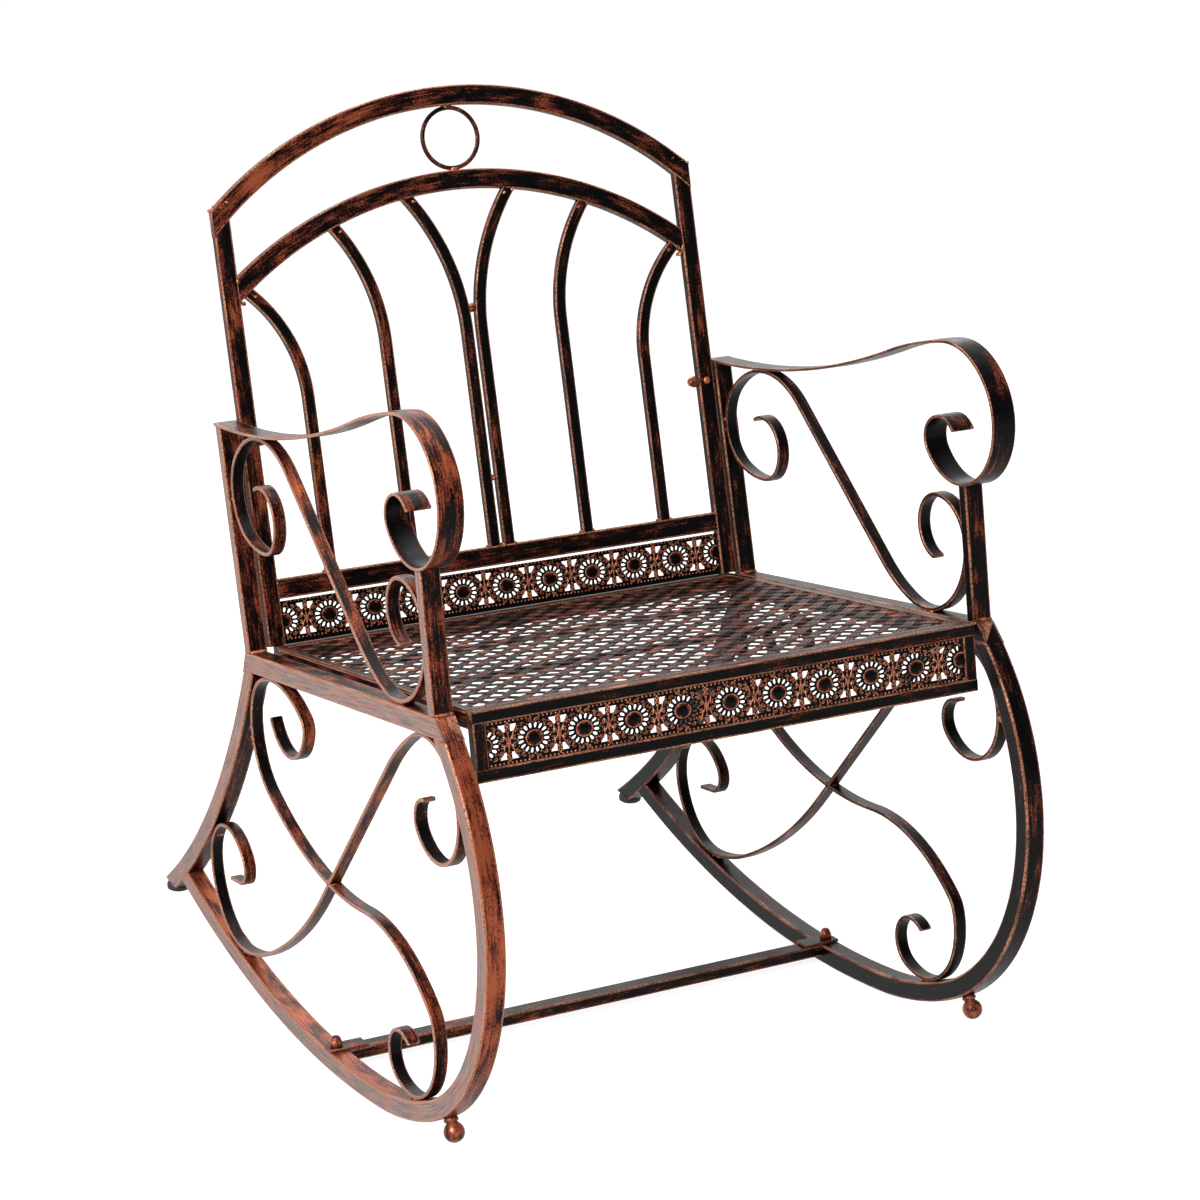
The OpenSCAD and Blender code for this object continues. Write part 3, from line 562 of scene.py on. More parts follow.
for sideName, sx in sides:
    low = sideName.lower()
    plane = sidePlane(sx * stance["frameX"])
    boxTube = (plane, tube, tube, sideFrame["tubeCorner"])
    levelCut = (0, lowLine, 0, 1)
    rail = straightPath(sideFrame["railFrom"], lowLine / 2, sideFrame["railTo"], lowLine / 2)
    addBar("sideRail" + sideName, "side_rail_" + low, rail, *boxTube, cuts=railCuts)
    addBar("rocker" + sideName, "rocker_" + low, rockerBar, *boxTube, cuts=(levelCut, legCut))
    addBar("rearLeg" + sideName, "rear_leg_" + low, legBar, *boxTube, cuts=(levelCut, footCut))
    postBox = (plane, post["deep"], tube, post["corner"])
    curlQ = armPath[:, 1].min()
    front = straightPath(post["frontY"], 0, post["frontY"], curlQ - post["frontGap"])
    addBar("frontPost" + sideName, "front_arm_post_" + low, front, *postBox)
    topY = post["rearY"] + post["rearTop"] * math.tan(math.radians(stance["backLean"]))
    addBar("rearPost" + sideName, "rear_arm_post_" + low, straightPath(post["rearY"], 0, topY, post["rearTop"]),
           *postBox, cuts=((0, 0, 0, 1), (0, post["rearTop"], 0, 1)))
    addBar("armrest" + sideName, "armrest_" + low, armPath, plane, armrest["thick"], armrest["wide"],
           armrest["corner"], freeEnds=(True, True))
    for name, path in scrollPaths.items():
        addBar(name + "Scroll" + sideName, name + "_scroll_" + low, path, plane, scrollBar["thick"],
               scrollBar["wide"], scrollBar["corner"], freeEnds=(True, True))
print("side frames made")

# Back: s runs up from its foot. rise is how far each arch climbs from its ends; bars are (x, how far its top stays
# below the inner arch's ends' height, bend radius) from the middle outwards.
back = {"half": 267.5, "inner": 249.5, "height": 437.0, "rise": 102.0, "innerRise": 84.0, "depth": 10.0,
        "corner": 1.5, "archWide": 20.0, "archStep": 5.0, "railS": 56.0, "railTop": 66.0, "ringAcross": 66.0,
        "ringThick": 4.6, "barWide": 12.0, "barDeep": 8.0, "barCorner": 1.2, "barTurn": -60, "barInto": 4.0,
        "topStop": 2.0, "bars": [(8.25, 81, 230), (99.25, 81, 195), (190.25, 128, 150)]}
innerTop = back["height"] + back["rise"] - back["archWide"] - back["ringAcross"]
archR, innerR = ((half ** 2 + rise ** 2) / (2 * rise) for half, rise in
                 ((back["half"], back["rise"]), (back["inner"], back["innerRise"])))
archS, innerS = back["height"] + back["rise"] - archR, innerTop - innerR
backFace = backPlane()

for name, node, radius, centreS, endX in (("outerArch", "back_outer_arch", archR, archS, back["half"]),
                                          ("innerArch", "back_inner_arch", innerR, innerS, back["inner"])):
    # an arch of tube from its left end over the top to its right end; both ends are cut upright
    mid = radius - back["archWide"] / 2
    reach = math.degrees(math.asin(endX / mid))
    a = math.radians(90 + reach)
    path = bendPath((mid * math.cos(a), centreS + mid * math.sin(a), math.degrees(a) - 90), [(mid, -2 * reach)],
                    back["archStep"])
    addBar(name, node, path, backFace, back["archWide"], back["depth"], back["corner"],
           cuts=((-endX, 0, 1, 0), (endX, 0, 1, 0)))
for sideName, sx in sides:
    edges = (sx * back["half"], sx * back["inner"])
    tops = [archS + math.sqrt((archR - back["archWide"]) ** 2 - x * x) for x in edges]
    x, topCut = sum(edges) / 2, cutThrough((edges[0], tops[0]), (edges[1], tops[1]))
    addBar("upright" + sideName, "back_upright_" + sideName.lower(),
           straightPath(x, 0, x, min(tops) - back["topStop"]), backFace, back["half"] - back["inner"],
           back["depth"], back["corner"], cuts=(None, topCut))
addBar("lowerRail", "back_lower_rail", straightPath(-back["inner"], back["railS"], back["inner"], back["railS"]),
       backFace, back["archWide"], back["depth"], back["corner"])
barTops = []
for k in range(6):
    x, drop, radius = back["bars"][2 - k if k < 3 else k - 3]
    straight = innerTop - back["innerRise"] - drop - back["railTop"]
    path = bendPath((0, back["railTop"], 90), [(straight, 0), (radius, back["barTurn"])])
    path[:, 0] = path[:, 0] + x
    path = path[np.hypot(path[:, 0], path[:, 1] - innerS) < innerR - back["archWide"] + back["barInto"]]
    if k < 3:
        path = path * [-1, 1, -1, 1]
    else:
        # where its weld sits, just below its end
        barTops.append((path[-1, 0] - 2 * path[-1, 2], path[-1, 1] - 5 * path[-1, 3]))
    addBar("backBar%d" % (k + 1), "back_bar_%d" % (k + 1), path, backFace, back["barWide"], back["barDeep"],
           back["barCorner"])
# ring: round bar bent to a circle, point = centre + R out(a) + r (cos b out(a) - sin b front), closed both ways
ringRows, ringCols = 72, 12
a = np.linspace(0, 2 * np.pi, ringRows, endpoint=False)[:, None, None]
b = np.linspace(0, 2 * np.pi, ringCols, endpoint=False)[:, None]
o, ex, es, ed = backFace
ringOut = np.cos(a) * ex + np.sin(a) * es
ringNormals = np.cos(b) * ringOut - np.sin(b) * ed
ringMid, ringRound = (back["ringAcross"] - back["ringThick"]) / 2, back["ringThick"] / 2
ringPoints = o + (innerTop + back["ringAcross"] / 2) * es + ringMid * ringOut + ringRound * ringNormals
ringUv = (np.linspace(0, 0.193, ringRows + 1), np.linspace(0, 0.0145, ringCols + 1))  # its lengths in metres
ringMeasures = {key: np.full((ringRows, ringCols), value) for key, value in
                (("cornerGap", 1.6), ("wearAndSheen", 0.0), ("polishAndShade", 0.04))}
ringMesh = fromGrid("backRing", ringPoints, ringNormals, ringUv, ringMeasures)
addPiece("backRing", ringMesh, barFinish, "rubbed_copper", "back_ring")
print("back made")

# Pierced daisy strips, in mm. A daisy's eye, slits, dots, curls and rims lie on ovals round its centre, and between
# two daisies stands a post with berries, each (x, y, radius), above and below it.
daisy = {"pitch": 49.5, "half": 20.0, "thick": 1.5, "eye": (8.8, 7.6), "slits": 16, "slitIn": (9.8, 8.6),
         "slitOut": (15.6, 13.6), "slitSwing": 0.3, "dotAt": (15.9, 13.9), "dot": 0.9, "curls": 16,
         "curlAt": (18.9, 16.0), "curl": (2.4, 2.0), "curlSweep": (-150, 130), "curlTighter": 0.3,
         "curlThick": 0.48, "curlLean": 0.5, "curlEye": (0.75, 0.75, 0.8), "rimAt": (22.6, 17.6), "rimSweep": 52,
         "rimThick": 0.6, "rimWave": 0.035, "rimWaves": 9, "postHalf": 9.0, "postThick": 1.0, "postFlat": 0.6,
         "berryHigh": 1.1, "berries": ((0, 8.6, 1.3), (-1.5, 11.2, 1.2), (1.5, 11.2, 1.2), (0, 13.2, 1.5),
                                       (-1.6, 15.3, 1.3), (1.6, 15.3, 1.3), (0, 17.0, 1.1)),
         "gap": ((2.4, 15.6), (9.3, 15.6), (7.6, 12.2), (5.6, 9.4), (2.4, 9.0)), "pinAt": (20.6, 4.3),
         "pin": (1.0, 2.0), "beads": 12, "beadPitch": 4.125, "beadRow": 18.7, "bead": (0.95, 1.15, 0.95),
         "openClear": 1.2, "raisedClear": 0.2, "spill": 0.02}
# the eye's rows are (share of the oval, height, how much it is rubbed)
eyeRows = np.array([[0.0, -0.4, 0.2], [1.0, -0.4, 0.2], [1.0, 0.5, 0.6], [0.95, 1.05, 1.0], [0.86, 1.15, 1.0],
                    [0.77, 0.75, 0.5], [0.68, 0.8, 0.8], [0.5, 1.35, 0.3], [0.25, 1.75, -0.2], [0.0, 1.85, -0.2]])


def polygonCurve(name, outlines, thick):
    # a flat filled curve: the first outline is the edge and the others are openings, thickened evenly
    curve = bpy.data.curves.new(name, "CURVE")
    curve.dimensions, curve.fill_mode, curve.extrude = "2D", "BOTH", thick / 2000
    for points in outlines:
        spline = curve.splines.new("POLY")
        spline.points.add(len(points) - 1)
        flat = np.zeros((len(points), 4))
        flat[:, :2] = np.array(points) / 1000
        flat[:, 3] = 1
        spline.points.foreach_set("co", flat.reshape(-1))
        spline.use_cyclic_u = True
    holder = bpy.data.objects.new(name, curve)
    mesh = bpy.data.meshes.new_from_object(holder)
    bpy.data.objects.remove(holder)
    bpy.data.curves.remove(curve)
    return mesh


def slitOutline(centre, angle):
    # a slit in oval polar coordinates: r runs from the inner to the outer oval and back as a blunt cosine, and the
    # angle swings by a share of the spacing as a sine
    t = np.linspace(0, 2 * np.pi, 10, endpoint=False)
    r = 0.5 + 0.5 * np.sign(np.cos(t)) * np.abs(np.cos(t)) ** 0.7
    swing = angle + 2 * np.pi / daisy["slits"] * daisy["slitSwing"] * np.sin(t)
    ax, ay = (low + (high - low) * r for low, high in zip(daisy["slitIn"], daisy["slitOut"]))
    return np.stack([centre + ax * np.cos(swing), ay * np.sin(swing)], 1)


def tubeAlong(points, radius, cols=6):
    # a thin round tube along a flat line [x, y] at height 0: ring = point + radius (cos across + sin up), pointed
    # at both ends
    step = np.gradient(points, axis=0)
    step /= np.linalg.norm(step, axis=1)[:, None]
    across = np.stack([-step[:, 1], step[:, 0]], 1)
    b = np.linspace(0, 2 * np.pi, cols, endpoint=False)
    size = np.full(len(points), radius)
    size[[0, -1]] = 0
    flat = points[:, None] + (size[:, None] * np.cos(b))[..., None] * across[:, None]
    return np.concatenate([flat, (size[:, None] * np.sin(b))[..., None]], -1)


def pebble(x, y, z, radii, rows=5, cols=8):
    # an ellipsoid: x + rx sin lat cos lon, y + ry sin lat sin lon, z + rz cos lat
    lat = np.linspace(np.pi, 0, rows)[:, None]
    lon = np.linspace(0, 2 * np.pi, cols, endpoint=False)[None]
    rx, ry, rz = radii
    return np.stack([x + rx * np.sin(lat) * np.cos(lon), y + ry * np.sin(lat) * np.sin(lon),
                     z + rz * np.cos(lat) + 0 * lon], -1)


def daisyOpenings(c):
    # the slits of one daisy, and round the post to its right the two gaps and two pin holes on each side
    outlines = [slitOutline(c, 2 * np.pi * (k + 0.5) / daisy["slits"]) for k in range(daisy["slits"])]
    t = np.linspace(0, 2 * np.pi, 8, endpoint=False)
    for sx in (-1, 1):
        for sy in (-1, 1):
            outlines.append(np.array(daisy["gap"]) * [sx, sy] + [c + daisy["pitch"] / 2, 0])
            outlines.append(np.stack([c + sx * daisy["pinAt"][0] + daisy["pin"][0] * np.cos(t),
                                      sy * daisy["pinAt"][1] + daisy["pin"][1] * np.sin(t)], 1))
    return outlines


def daisyRaised(c, top):
    # what stands on the plate for one daisy: dots between the slits, a ring of curls, two rims, a post with
    # berries, and the two rows of beads along the edges
    raised = []
    for k in range(daisy["slits"]):
        a = 2 * np.pi * k / daisy["slits"]
        x, y = c + daisy["dotAt"][0] * math.cos(a), daisy["dotAt"][1] * math.sin(a)
        raised.append(pebble(x, y, top, [daisy["dot"]] * 3))
    for k in range(daisy["curls"]):
        a = 2 * np.pi * (k + 0.5) / daisy["curls"]
        t = np.radians(np.linspace(*daisy["curlSweep"], 12)) + a + daisy["curlLean"] * (1 if k % 2 else -1)
        middle = np.array([c + daisy["curlAt"][0] * math.cos(a), daisy["curlAt"][1] * math.sin(a)])
        coil = np.stack([daisy["curl"][0] * np.cos(t), daisy["curl"][1] * np.sin(t)], 1)
        curl = middle + coil * (1 - daisy["curlTighter"] * np.linspace(0, 1, 12))[:, None]
        raised += [tubeAlong(curl, daisy["curlThick"]) + [0, 0, top], pebble(*middle, top, daisy["curlEye"], 4, 6)]
    for sx in (-1, 1):
        t = np.radians(np.linspace(-daisy["rimSweep"], daisy["rimSweep"], 23))
        wave = 1 + daisy["rimWave"] * np.cos(daisy["rimWaves"] * t)
        rimX, rimY = daisy["rimAt"]
        rim = np.stack([c + sx * rimX * wave * np.cos(t), rimY * wave * np.sin(t) * sx], 1)
        raised.append(tubeAlong(rim, daisy["rimThick"]) + [0, 0, top])
    x = c + daisy["pitch"] / 2
    stem = np.stack([np.full(5, x), np.linspace(-daisy["postHalf"], daisy["postHalf"], 5)], 1)
    raised.append(tubeAlong(stem, daisy["postThick"]) * [1, 1, daisy["postFlat"]] + [0, 0, top])
    for sy in (-1, 1):
        raised += [pebble(x + dx, sy * y, top, (r, r, daisy["berryHigh"])) for dx, y, r in daisy["berries"]]
    first = c - daisy["pitch"] / 2 + daisy["beadPitch"] / 2
    for k in range(daisy["beads"]):
        for sy in (-1, 1):
            if k != (6 if sy > 0 else 5):  # one bead is missing on each side
                x, y = first + k * daisy["beadPitch"], sy * daisy["beadRow"]
                raised.append(pebble(x, y, top + 0.1, daisy["bead"]))
    return raised


def daisyStrip(name, plane, halfLength, shift, below, node):
    # the plate with its openings, then everything raised on it, drawn flat and then placed; below is how far its
    # plain lower border runs on under the pattern. What would pass the ends is left out, and eyes are pressed flat.
    high, top = daisy["half"], daisy["thick"] / 2
    outlines = [np.array([[-halfLength, -high - below], [halfLength, -high - below], [halfLength, high],
                          [-halfLength, high]])]
    parts, relief = [], []

    def inside(points, rim):
        return np.abs(points[..., 0]).max() < halfLength - rim

    for c in shift + daisy["pitch"] * np.arange(-6, 7):
        outlines += [outline for outline in daisyOpenings(c) if inside(outline, daisy["openClear"])]
        if abs(c) < halfLength + 5:
            a = np.linspace(0, 2 * np.pi, 28, endpoint=False)
            share, height, rub = eyeRows.T[..., None]
            eye = np.stack([c + share * daisy["eye"][0] * np.cos(a), share * daisy["eye"][1] * np.sin(a),
                            top + height + 0 * a], -1)
            over = np.maximum(np.abs(eye[..., 0]) - halfLength, 0)
            eye[..., 0] -= np.sign(eye[..., 0]) * (1 - daisy["spill"]) * over
            parts.append(eye)
            relief.append(rub)
        raised = [points for points in daisyRaised(c, top) if inside(points, daisy["raisedClear"])]
        parts += raised
        relief += [1.0] * len(raised)
    plate = polygonCurve(name + "Plate", outlines, daisy["thick"])
    flat = np.empty(len(plate.vertices) * 3, np.float32)
    plate.vertices.foreach_get("co", flat)
    flat, *parts = [placed(plane, points) for points in [flat.reshape(-1, 3) * 1000.0] + parts]
    mesh = joinGrids(name, parts, relief, (flat, [list(face.vertices) for face in plate.polygons]))
    bpy.data.meshes.remove(plate)
    addPiece(name, mesh, stripFinish, "pierced_copper", node)


# Seat and apron, in mm from the top of the side rails; y runs to the rear
seat = {"half": 260.0, "front": -253.5, "sheetFront": -241.5, "sheetRear": 217.0, "top": 2.0, "under": 0.5,
        "sideBarX": 254.0, "sideBarHigh": 16.0, "rearBarY": 223.0, "rearBarHigh": 18.0, "barWide": 12.0,
        "barCorner": 1.5, "rim": 8.0, "rimHigh": 1.9, "rimMid": 1.4, "rimCorner": 0.6, "rimHalf": 252.2}
apron = {"high": 65.0, "deep": 12.0, "side": 12.5, "mid": -30.5, "endHalf": 20.5, "corner": 1.6, "endCorner": 1.2,
         "stripShift": -3.7, "stripIn": 2.25}
hung = {"under": 2.5, "endGap": 0.5}  # the back's strip, under the lower rail and between the uprights
stripS = back["railTop"] - back["archWide"] - hung["under"] - daisy["half"]
daisyStrip("backDaisyStrip", (o + stripS * es, ex, es, ed), back["inner"] - hung["endGap"], 0.0,
           stripS - daisy["half"], "back_fretwork")
o, ex, ez, ef = frontPlane(seat["front"] + apron["stripIn"])
daisyStrip("apronDaisyStrip", (o + apron["mid"] * ez, ex, ez, ef), seat["half"] - apron["side"],
           apron["stripShift"], 0.0, "apron_fretwork")
print("daisy strips made")

# apron frame: four smooth tubes round the strip
apronPlane = frontPlane(seat["front"] + apron["deep"] / 2)
railHigh = apron["high"] / 2 - daisy["half"]
for name, q, node in (("apronTop", seat["top"] - railHigh / 2, "apron_frame"),
                      ("apronBottom", seat["top"] - apron["high"] + railHigh / 2, None)):
    addBar(name, node, straightPath(-seat["half"], q, seat["half"], q), apronPlane, railHigh, apron["deep"],
           apron["corner"])
for sideName, sx in sides:
    x = sx * (seat["half"] - apron["side"] / 2)
    addBar("apronEnd" + sideName, None, straightPath(x, apron["mid"] - apron["endHalf"], x,
           apron["mid"] + apron["endHalf"]), apronPlane, apron["side"], apron["deep"], apron["endCorner"])

# seat frame bars
for sideName, sx in sides:
    x, high = sx * seat["sideBarX"], seat["sideBarHigh"]
    addBar("seatBar" + sideName, "seat_side_bar_" + sideName.lower(),
           straightPath(x, seat["sheetFront"], x, seat["sheetRear"]), seatPlane(seat["under"] - high / 2),
           seat["barWide"], high, seat["barCorner"])
rearBar, high = straightPath(-seat["half"], seat["rearBarY"], seat["half"], seat["rearBarY"]), seat["rearBarHigh"]
addBar("seatRearBar", "seat_rear_bar", rearBar, seatPlane(seat["top"] - high / 2), seat["barWide"], high,
       seat["barCorner"])

# The woven look: bands of 10.6 mm with three ribs, on both diagonals, 28 mm apart across the chair. drift, in mm,
# and swell, as a share, each have an even part of up to the first number and a slow wave of the second number's size,
# whose length over 2 pi lies between the two numbers of its wave.
weave = {"wide": 10.6, "thick": 0.3, "ribs": 3, "ribHigh": 0.7, "underShare": 0.96, "pitch": 28.0, "rise": 0.3,
         "mid": 0.55, "step": 4.2, "low": (-254.0, -236.0), "high": (254.0, 211.5), "shortest": 12.0, "most": 18,
         "drift": (0.9, 0.7), "driftWave": (9, 16), "swell": (0.12, 0.1), "swellWave": (7, 12), "seed": 5,
         "rubbed": (0.6, 0.4), "patternStep": 0.7}


def wovenSeat():
    # Two families of ribbed bands, drawn in to a line at their ends. A band of family A keeps x - y = c, one of
    # family B keeps x + y = c, with c in steps of the pitch. Where they cross, A rises where B sinks:
    # z = +-rise cos(pi (x + y) / pitch + pi i). Each band wanders and swells a little in slow waves of its own.
    rise, pitch, thick = weave["rise"], weave["pitch"], weave["thick"]
    topCols, underCols = 13, 3
    crest = 0.5 + 0.5 * np.cos(np.linspace(-1, 1, topCols) * weave["ribs"] * math.pi)[::-1]
    halfWide = weave["wide"] / 2
    underU = np.linspace(-halfWide, halfWide, underCols) * weave["underShare"]
    u = np.concatenate([np.linspace(halfWide, -halfWide, topCols), underU])
    z = np.concatenate([thick / 2 + weave["ribHigh"] * (crest - 0.5), np.full(underCols, -thick / 2)])
    ribs, m = np.concatenate([crest, np.zeros(underCols)]), topCols + underCols
    rng = np.random.default_rng(weave["seed"])
    low, high = np.array(weave["low"]), np.array(weave["high"])
    points, faces, relief, uvs, base = [], [], [], [], 0
    for over, d in ((1, np.array([1, 1]) / math.sqrt(2)), (-1, np.array([1, -1]) / math.sqrt(2))):
        across = np.array([-d[1], d[0]])
        for i in range(-weave["most"], weave["most"] + 1):
            p0 = np.array([i * pitch / 2, -over * i * pitch / 2])
            limits = np.sort(np.stack([(low - p0) / d, (high - p0) / d]), axis=0)
            s0, s1 = limits[0].max(), limits[1].min()
            if s1 - s0 < weave["shortest"]:
                continue
            n = max(5, int((s1 - s0) / weave["step"]) + 2)
            s = np.concatenate([[s0], np.linspace(s0, s1, n - 2), [s1]])
            openEnds = np.ones(n)
            openEnds[[0, -1]] = 0
            wave = rise * np.cos(math.pi * (s * math.sqrt(2) / pitch + i)) * over
            drift, swell = (rng.uniform(-weave[key][0], weave[key][0]) + weave[key][1] * np.sin(
                s / rng.uniform(*weave[key + "Wave"]) + rng.uniform(0, 6.28)) for key in ("drift", "swell"))
            centre = p0 + s[:, None] * d + drift[:, None] * across
            flat = centre[:, None] - ((openEnds * (1 + swell))[:, None] * u)[..., None] * across
            height = seat["under"] + weave["mid"] + wave[:, None] + openEnds[:, None] * z
            points.append(placed(seatPlane(), np.concatenate([flat, height[..., None]], -1)).reshape(-1, 3))
            k, j = np.meshgrid(np.arange(n - 1), np.arange(m), indexing="ij")
            jn = (j + 1) % m
            quads = np.stack([k * m + j, (k + 1) * m + j, (k + 1) * m + jn, k * m + jn], -1).reshape(-1, 4)
            faces.append(quads + base)
            # ribs are rubbed more where their band lies on top, which also places the painted glint on their crests,
            # and the pattern starts elsewhere on each band
            relief.append((ribs * (weave["rubbed"][0] + weave["rubbed"][1] * wave[:, None] / rise)).reshape(-1))
            start = weave["patternStep"] * (i + 20)
            runUv = np.stack([np.repeat(s / 1000 + start, m), np.tile(u / 1000, n)], -1)
            uvs.append(runUv[quads.reshape(-1)])
            base += n * m
    mesh = bpy.data.meshes.new("wovenSeat")
    mesh.from_pydata((np.concatenate(points) / 1000).tolist(), [], np.concatenate(faces).tolist())
    mesh.uv_layers.new(name="run").data.foreach_set("uv", np.concatenate(uvs).reshape(-1).astype(np.float32))
    setMeasures(mesh, {"relief": np.concatenate(relief)})
    mesh.polygons.foreach_set("use_smooth", np.ones(len(mesh.polygons), bool))
    return welded(mesh)


addPiece("wovenSeat", wovenSeat(), weaveFinish, "punched_sheet", "seat_sheet")
rimX, rimHalf = seat["half"] - seat["rim"] / 2, seat["rimHalf"]
rimFront, rimRear = seat["sheetFront"] + seat["rim"] / 2, seat["sheetRear"] - seat["rim"] / 2
for name, path in (("seatRimLeft", straightPath(-rimX, seat["sheetFront"], -rimX, seat["sheetRear"])),
                   ("seatRimRight", straightPath(rimX, seat["sheetFront"], rimX, seat["sheetRear"])),
                   ("seatRimFront", straightPath(-rimHalf, rimFront, rimHalf, rimFront)),
                   ("seatRimRear", straightPath(-rimHalf, rimRear, rimHalf, rimRear))):
    addBar(name, None, path, seatPlane(seat["rimMid"]), seat["rim"], seat["rimHigh"], seat["rimCorner"])
print("seat made")

# Stretcher between the runners, with a flat tab at each end
stretcher = {"y": 110.0, "runnerR": 1150.0, "deep": 20.0, "high": 12.0, "half": 269.8, "corner": 1.6, "tabX": 270.0,
             "tabHalf": 20.0, "tabStep": 10.0, "tabThick": 3.0, "tabCorner": 0.8, "tabMid": 1.7}
runner = rockerIn[runnerRow:]
slope = math.asin(stretcher["y"] / stretcher["runnerR"])
seatO, seatX, seatRear, seatUp = seatPlane()
along = seatRear * math.cos(slope) + seatUp * math.sin(slope)
square = np.cross(seatX, along)
stretchO = seatO + seatRear * stretcher["y"] + seatUp * np.interp(stretcher["y"], runner[:, 0], runner[:, 1])
addBar("stretcher", "stretcher", straightPath(-stretcher["half"], 0, stretcher["half"], 0),
       (stretchO - square * stretcher["high"] / 2, seatX, along, square), stretcher["deep"], stretcher["high"],
       stretcher["corner"])
for sideName, sx in sides:
    x, reach = sx * stretcher["tabX"], stretcher["tabHalf"]
    tabPlane = (stretchO + square * stretcher["tabMid"], seatX, along, square)
    addBar("tab" + sideName, "stretcher_tabs" if sx < 0 else None,
           straightPath(x - reach, 0, x + reach, 0, stretcher["tabStep"]), tabPlane, stretcher["deep"],
           stretcher["tabThick"], stretcher["tabCorner"], freeEnds=(True, True))

# Feet and fasteners, turned from profiles of (radius, height)
domeNut = [[0, 0], [6.0, 0.0], [6.0, 5.2], [5.6, 5.6], [5.2, 6.0], [4.9, 7.6], [4.2, 9.2], [3.0, 10.3], [1.5, 10.9],
           [0.0, 11.04]]
rivetHead = [[0, 0], [4.2, 0], [4.0, 1.0], [3.2, 2.0], [1.8, 2.7], [0, 2.9]]
ball = [[0, -10], [3.83, -9.24], [7.07, -7.07], [9.24, -3.83], [10, 0], [9.24, 3.83], [7.4, 6.7], [5.7, 8.2],
        [5.3, 9.3], [6.5, 9.9], [7.0, 11.0], [6.9, 12.4], [6.2, 13.5], [5.8, 14.1], [0, 14.2]]
disc = [[0, -8], [11.8, -8], [12.8, -7.3], [13, -6], [13, -2.6], [12.3, -1.6], [10.6, -0.2], [10.3, 0], [0, 0]]
foot = {"ballHeading": -23.4, "ballDown": 14.0, "ballCols": 28, "discCols": 36}
nut = {"stretcherX": 280.0, "stretcherUp": 3.4, "seatX": 247.8, "seatY": (-210.0, 190.0), "seatZ": -7.5,
       "backX": 249.3, "backY": 242.2, "backZ": 208.0, "rivetX": 258.5, "rivetUp": 5.0, "rivetCols": 18}
rockerHeading = np.degrees(np.arctan2(rockerRaw[:, 3], rockerRaw[:, 2]))
ballAt = rockerPath[int(np.argmin(np.abs(rockerHeading - foot["ballHeading"])))]
for sideName, sx in sides:
    low = sideName.lower()
    o, rear, up, across = sidePlane(sx * stance["frameX"])
    normal = -ballAt[3] * rear + ballAt[2] * up
    centre = o + ballAt[0] * rear + ballAt[1] * up - foot["ballDown"] * normal
    addLumps("ballFoot" + sideName, [turned(ball, centre, normal, foot["ballCols"])], ballFinish, "rubbed_copper",
             "ball_foot_" + low)
    normal = -math.sin(footSlope) * rear + math.cos(footSlope) * up
    centre = o + footAt[0] * rear + footAt[1] * up
    addLumps("rearFoot" + sideName, [turned(disc, centre, normal, foot["discCols"])], glideFinish, "black_glide",
             "rear_foot_" + low)
signs = (-1, 1)
nuts = [turned(domeNut, stretchO + sx * nut["stretcherX"] * seatX + nut["stretcherUp"] * square, square)
        for sx in signs]
addLumps("stretcherNuts", nuts, ballFinish, "rubbed_copper", "stretcher_bolts")
nuts = [turned(domeNut, seatO + sx * nut["seatX"] * seatX + y * seatRear + nut["seatZ"] * seatUp, -sx * seatX)
        for sx in signs for y in nut["seatY"]]
addLumps("seatNuts", nuts, ballFinish, "rubbed_copper", "seat_bolts")
nuts = [turned(domeNut, seatO + sx * nut["backX"] * seatX + nut["backY"] * seatRear + nut["backZ"] * seatUp,
               -sx * seatX) for sx in signs]
o, ex, es, ed = backFace
rivetS = nut["backZ"] / math.cos(math.radians(stance["backLean"])) - stance["backFoot"]
nuts += [turned(rivetHead, o + sx * nut["rivetX"] * ex + rivetS * es + nut["rivetUp"] * ed, ed, nut["rivetCols"])
         for sx in signs]
addLumps("backNuts", nuts, ballFinish, "rubbed_copper", "back_bolts")
print("feet and fasteners made")


def beadRow(plane, firstSeed, rows):
    # one bead for each row (p, q, angle, length, high, wide[, shift across]), its length turned by the angle
    o, e1, e2, e3 = plane
    beads = []
    for k, (p, q, angle, length, high, wide, *shift) in enumerate(rows):
        a = math.radians(angle)
        axes = [length / 2 * (math.cos(a) * e1 + math.sin(a) * e2),
                high / 2 * (-math.sin(a) * e1 + math.cos(a) * e2), wide / 2 * e3]
        beads.append(weldBead(o + p * e1 + q * e2 + sum(shift) * e3, axes, firstSeed + k))
    return beads


# Weld beads where members touch, each (length, high, wide). A touch point is the outermost point of a scroll on one
# side: (1, -1, -2) means the lowest along q, moved by -2.
weld = {"touch": (9.0, 4.8, 14.0), "crossing": (7.0, 4.0, 13.0), "post": (4.6, 3.4, 19.0),
        "railEnd": (6.5, 2.6, 1.8), "barFoot": (4.6, 4, 9), "barTop": (7, 4.6, 11), "legTouch": (394, -211, 118),
        "apart": 5.5, "crossingAt": ((-5, 20), (5, 60), (4, -50), (-4, 110)),
        "postAt": (-239.5, -224.5, 216.5, 231.0), "postQ": 0.8, "railShift": 9.6, "barFootApart": 6.5,
        "barTopAt": (-5.5, 4.5), "barTopAngle": 20, "frameSeeds": (11, 401), "backSeed": 901, "jointSeed": 960}
touches = [weld["legTouch"]]
for name, ends in (("arm", ((1, -1, -2), (1, 1, 2), (0, -1, -2), (0, 1, 2))),
                   ("long", ((1, 1, 2), (1, -1, -2), (0, 1, 2))), ("cross", ((1, 1, 2), (1, -1, -2), (0, -1, -2)))):
    for axis, sign, off in ends:
        path = scrollPaths[name]
        p, q = path[int(np.argmax(sign * path[:, axis])), :2] + (off * (axis == 0), off * (axis == 1))
        touches.append((p, q, 0 if axis else 90))
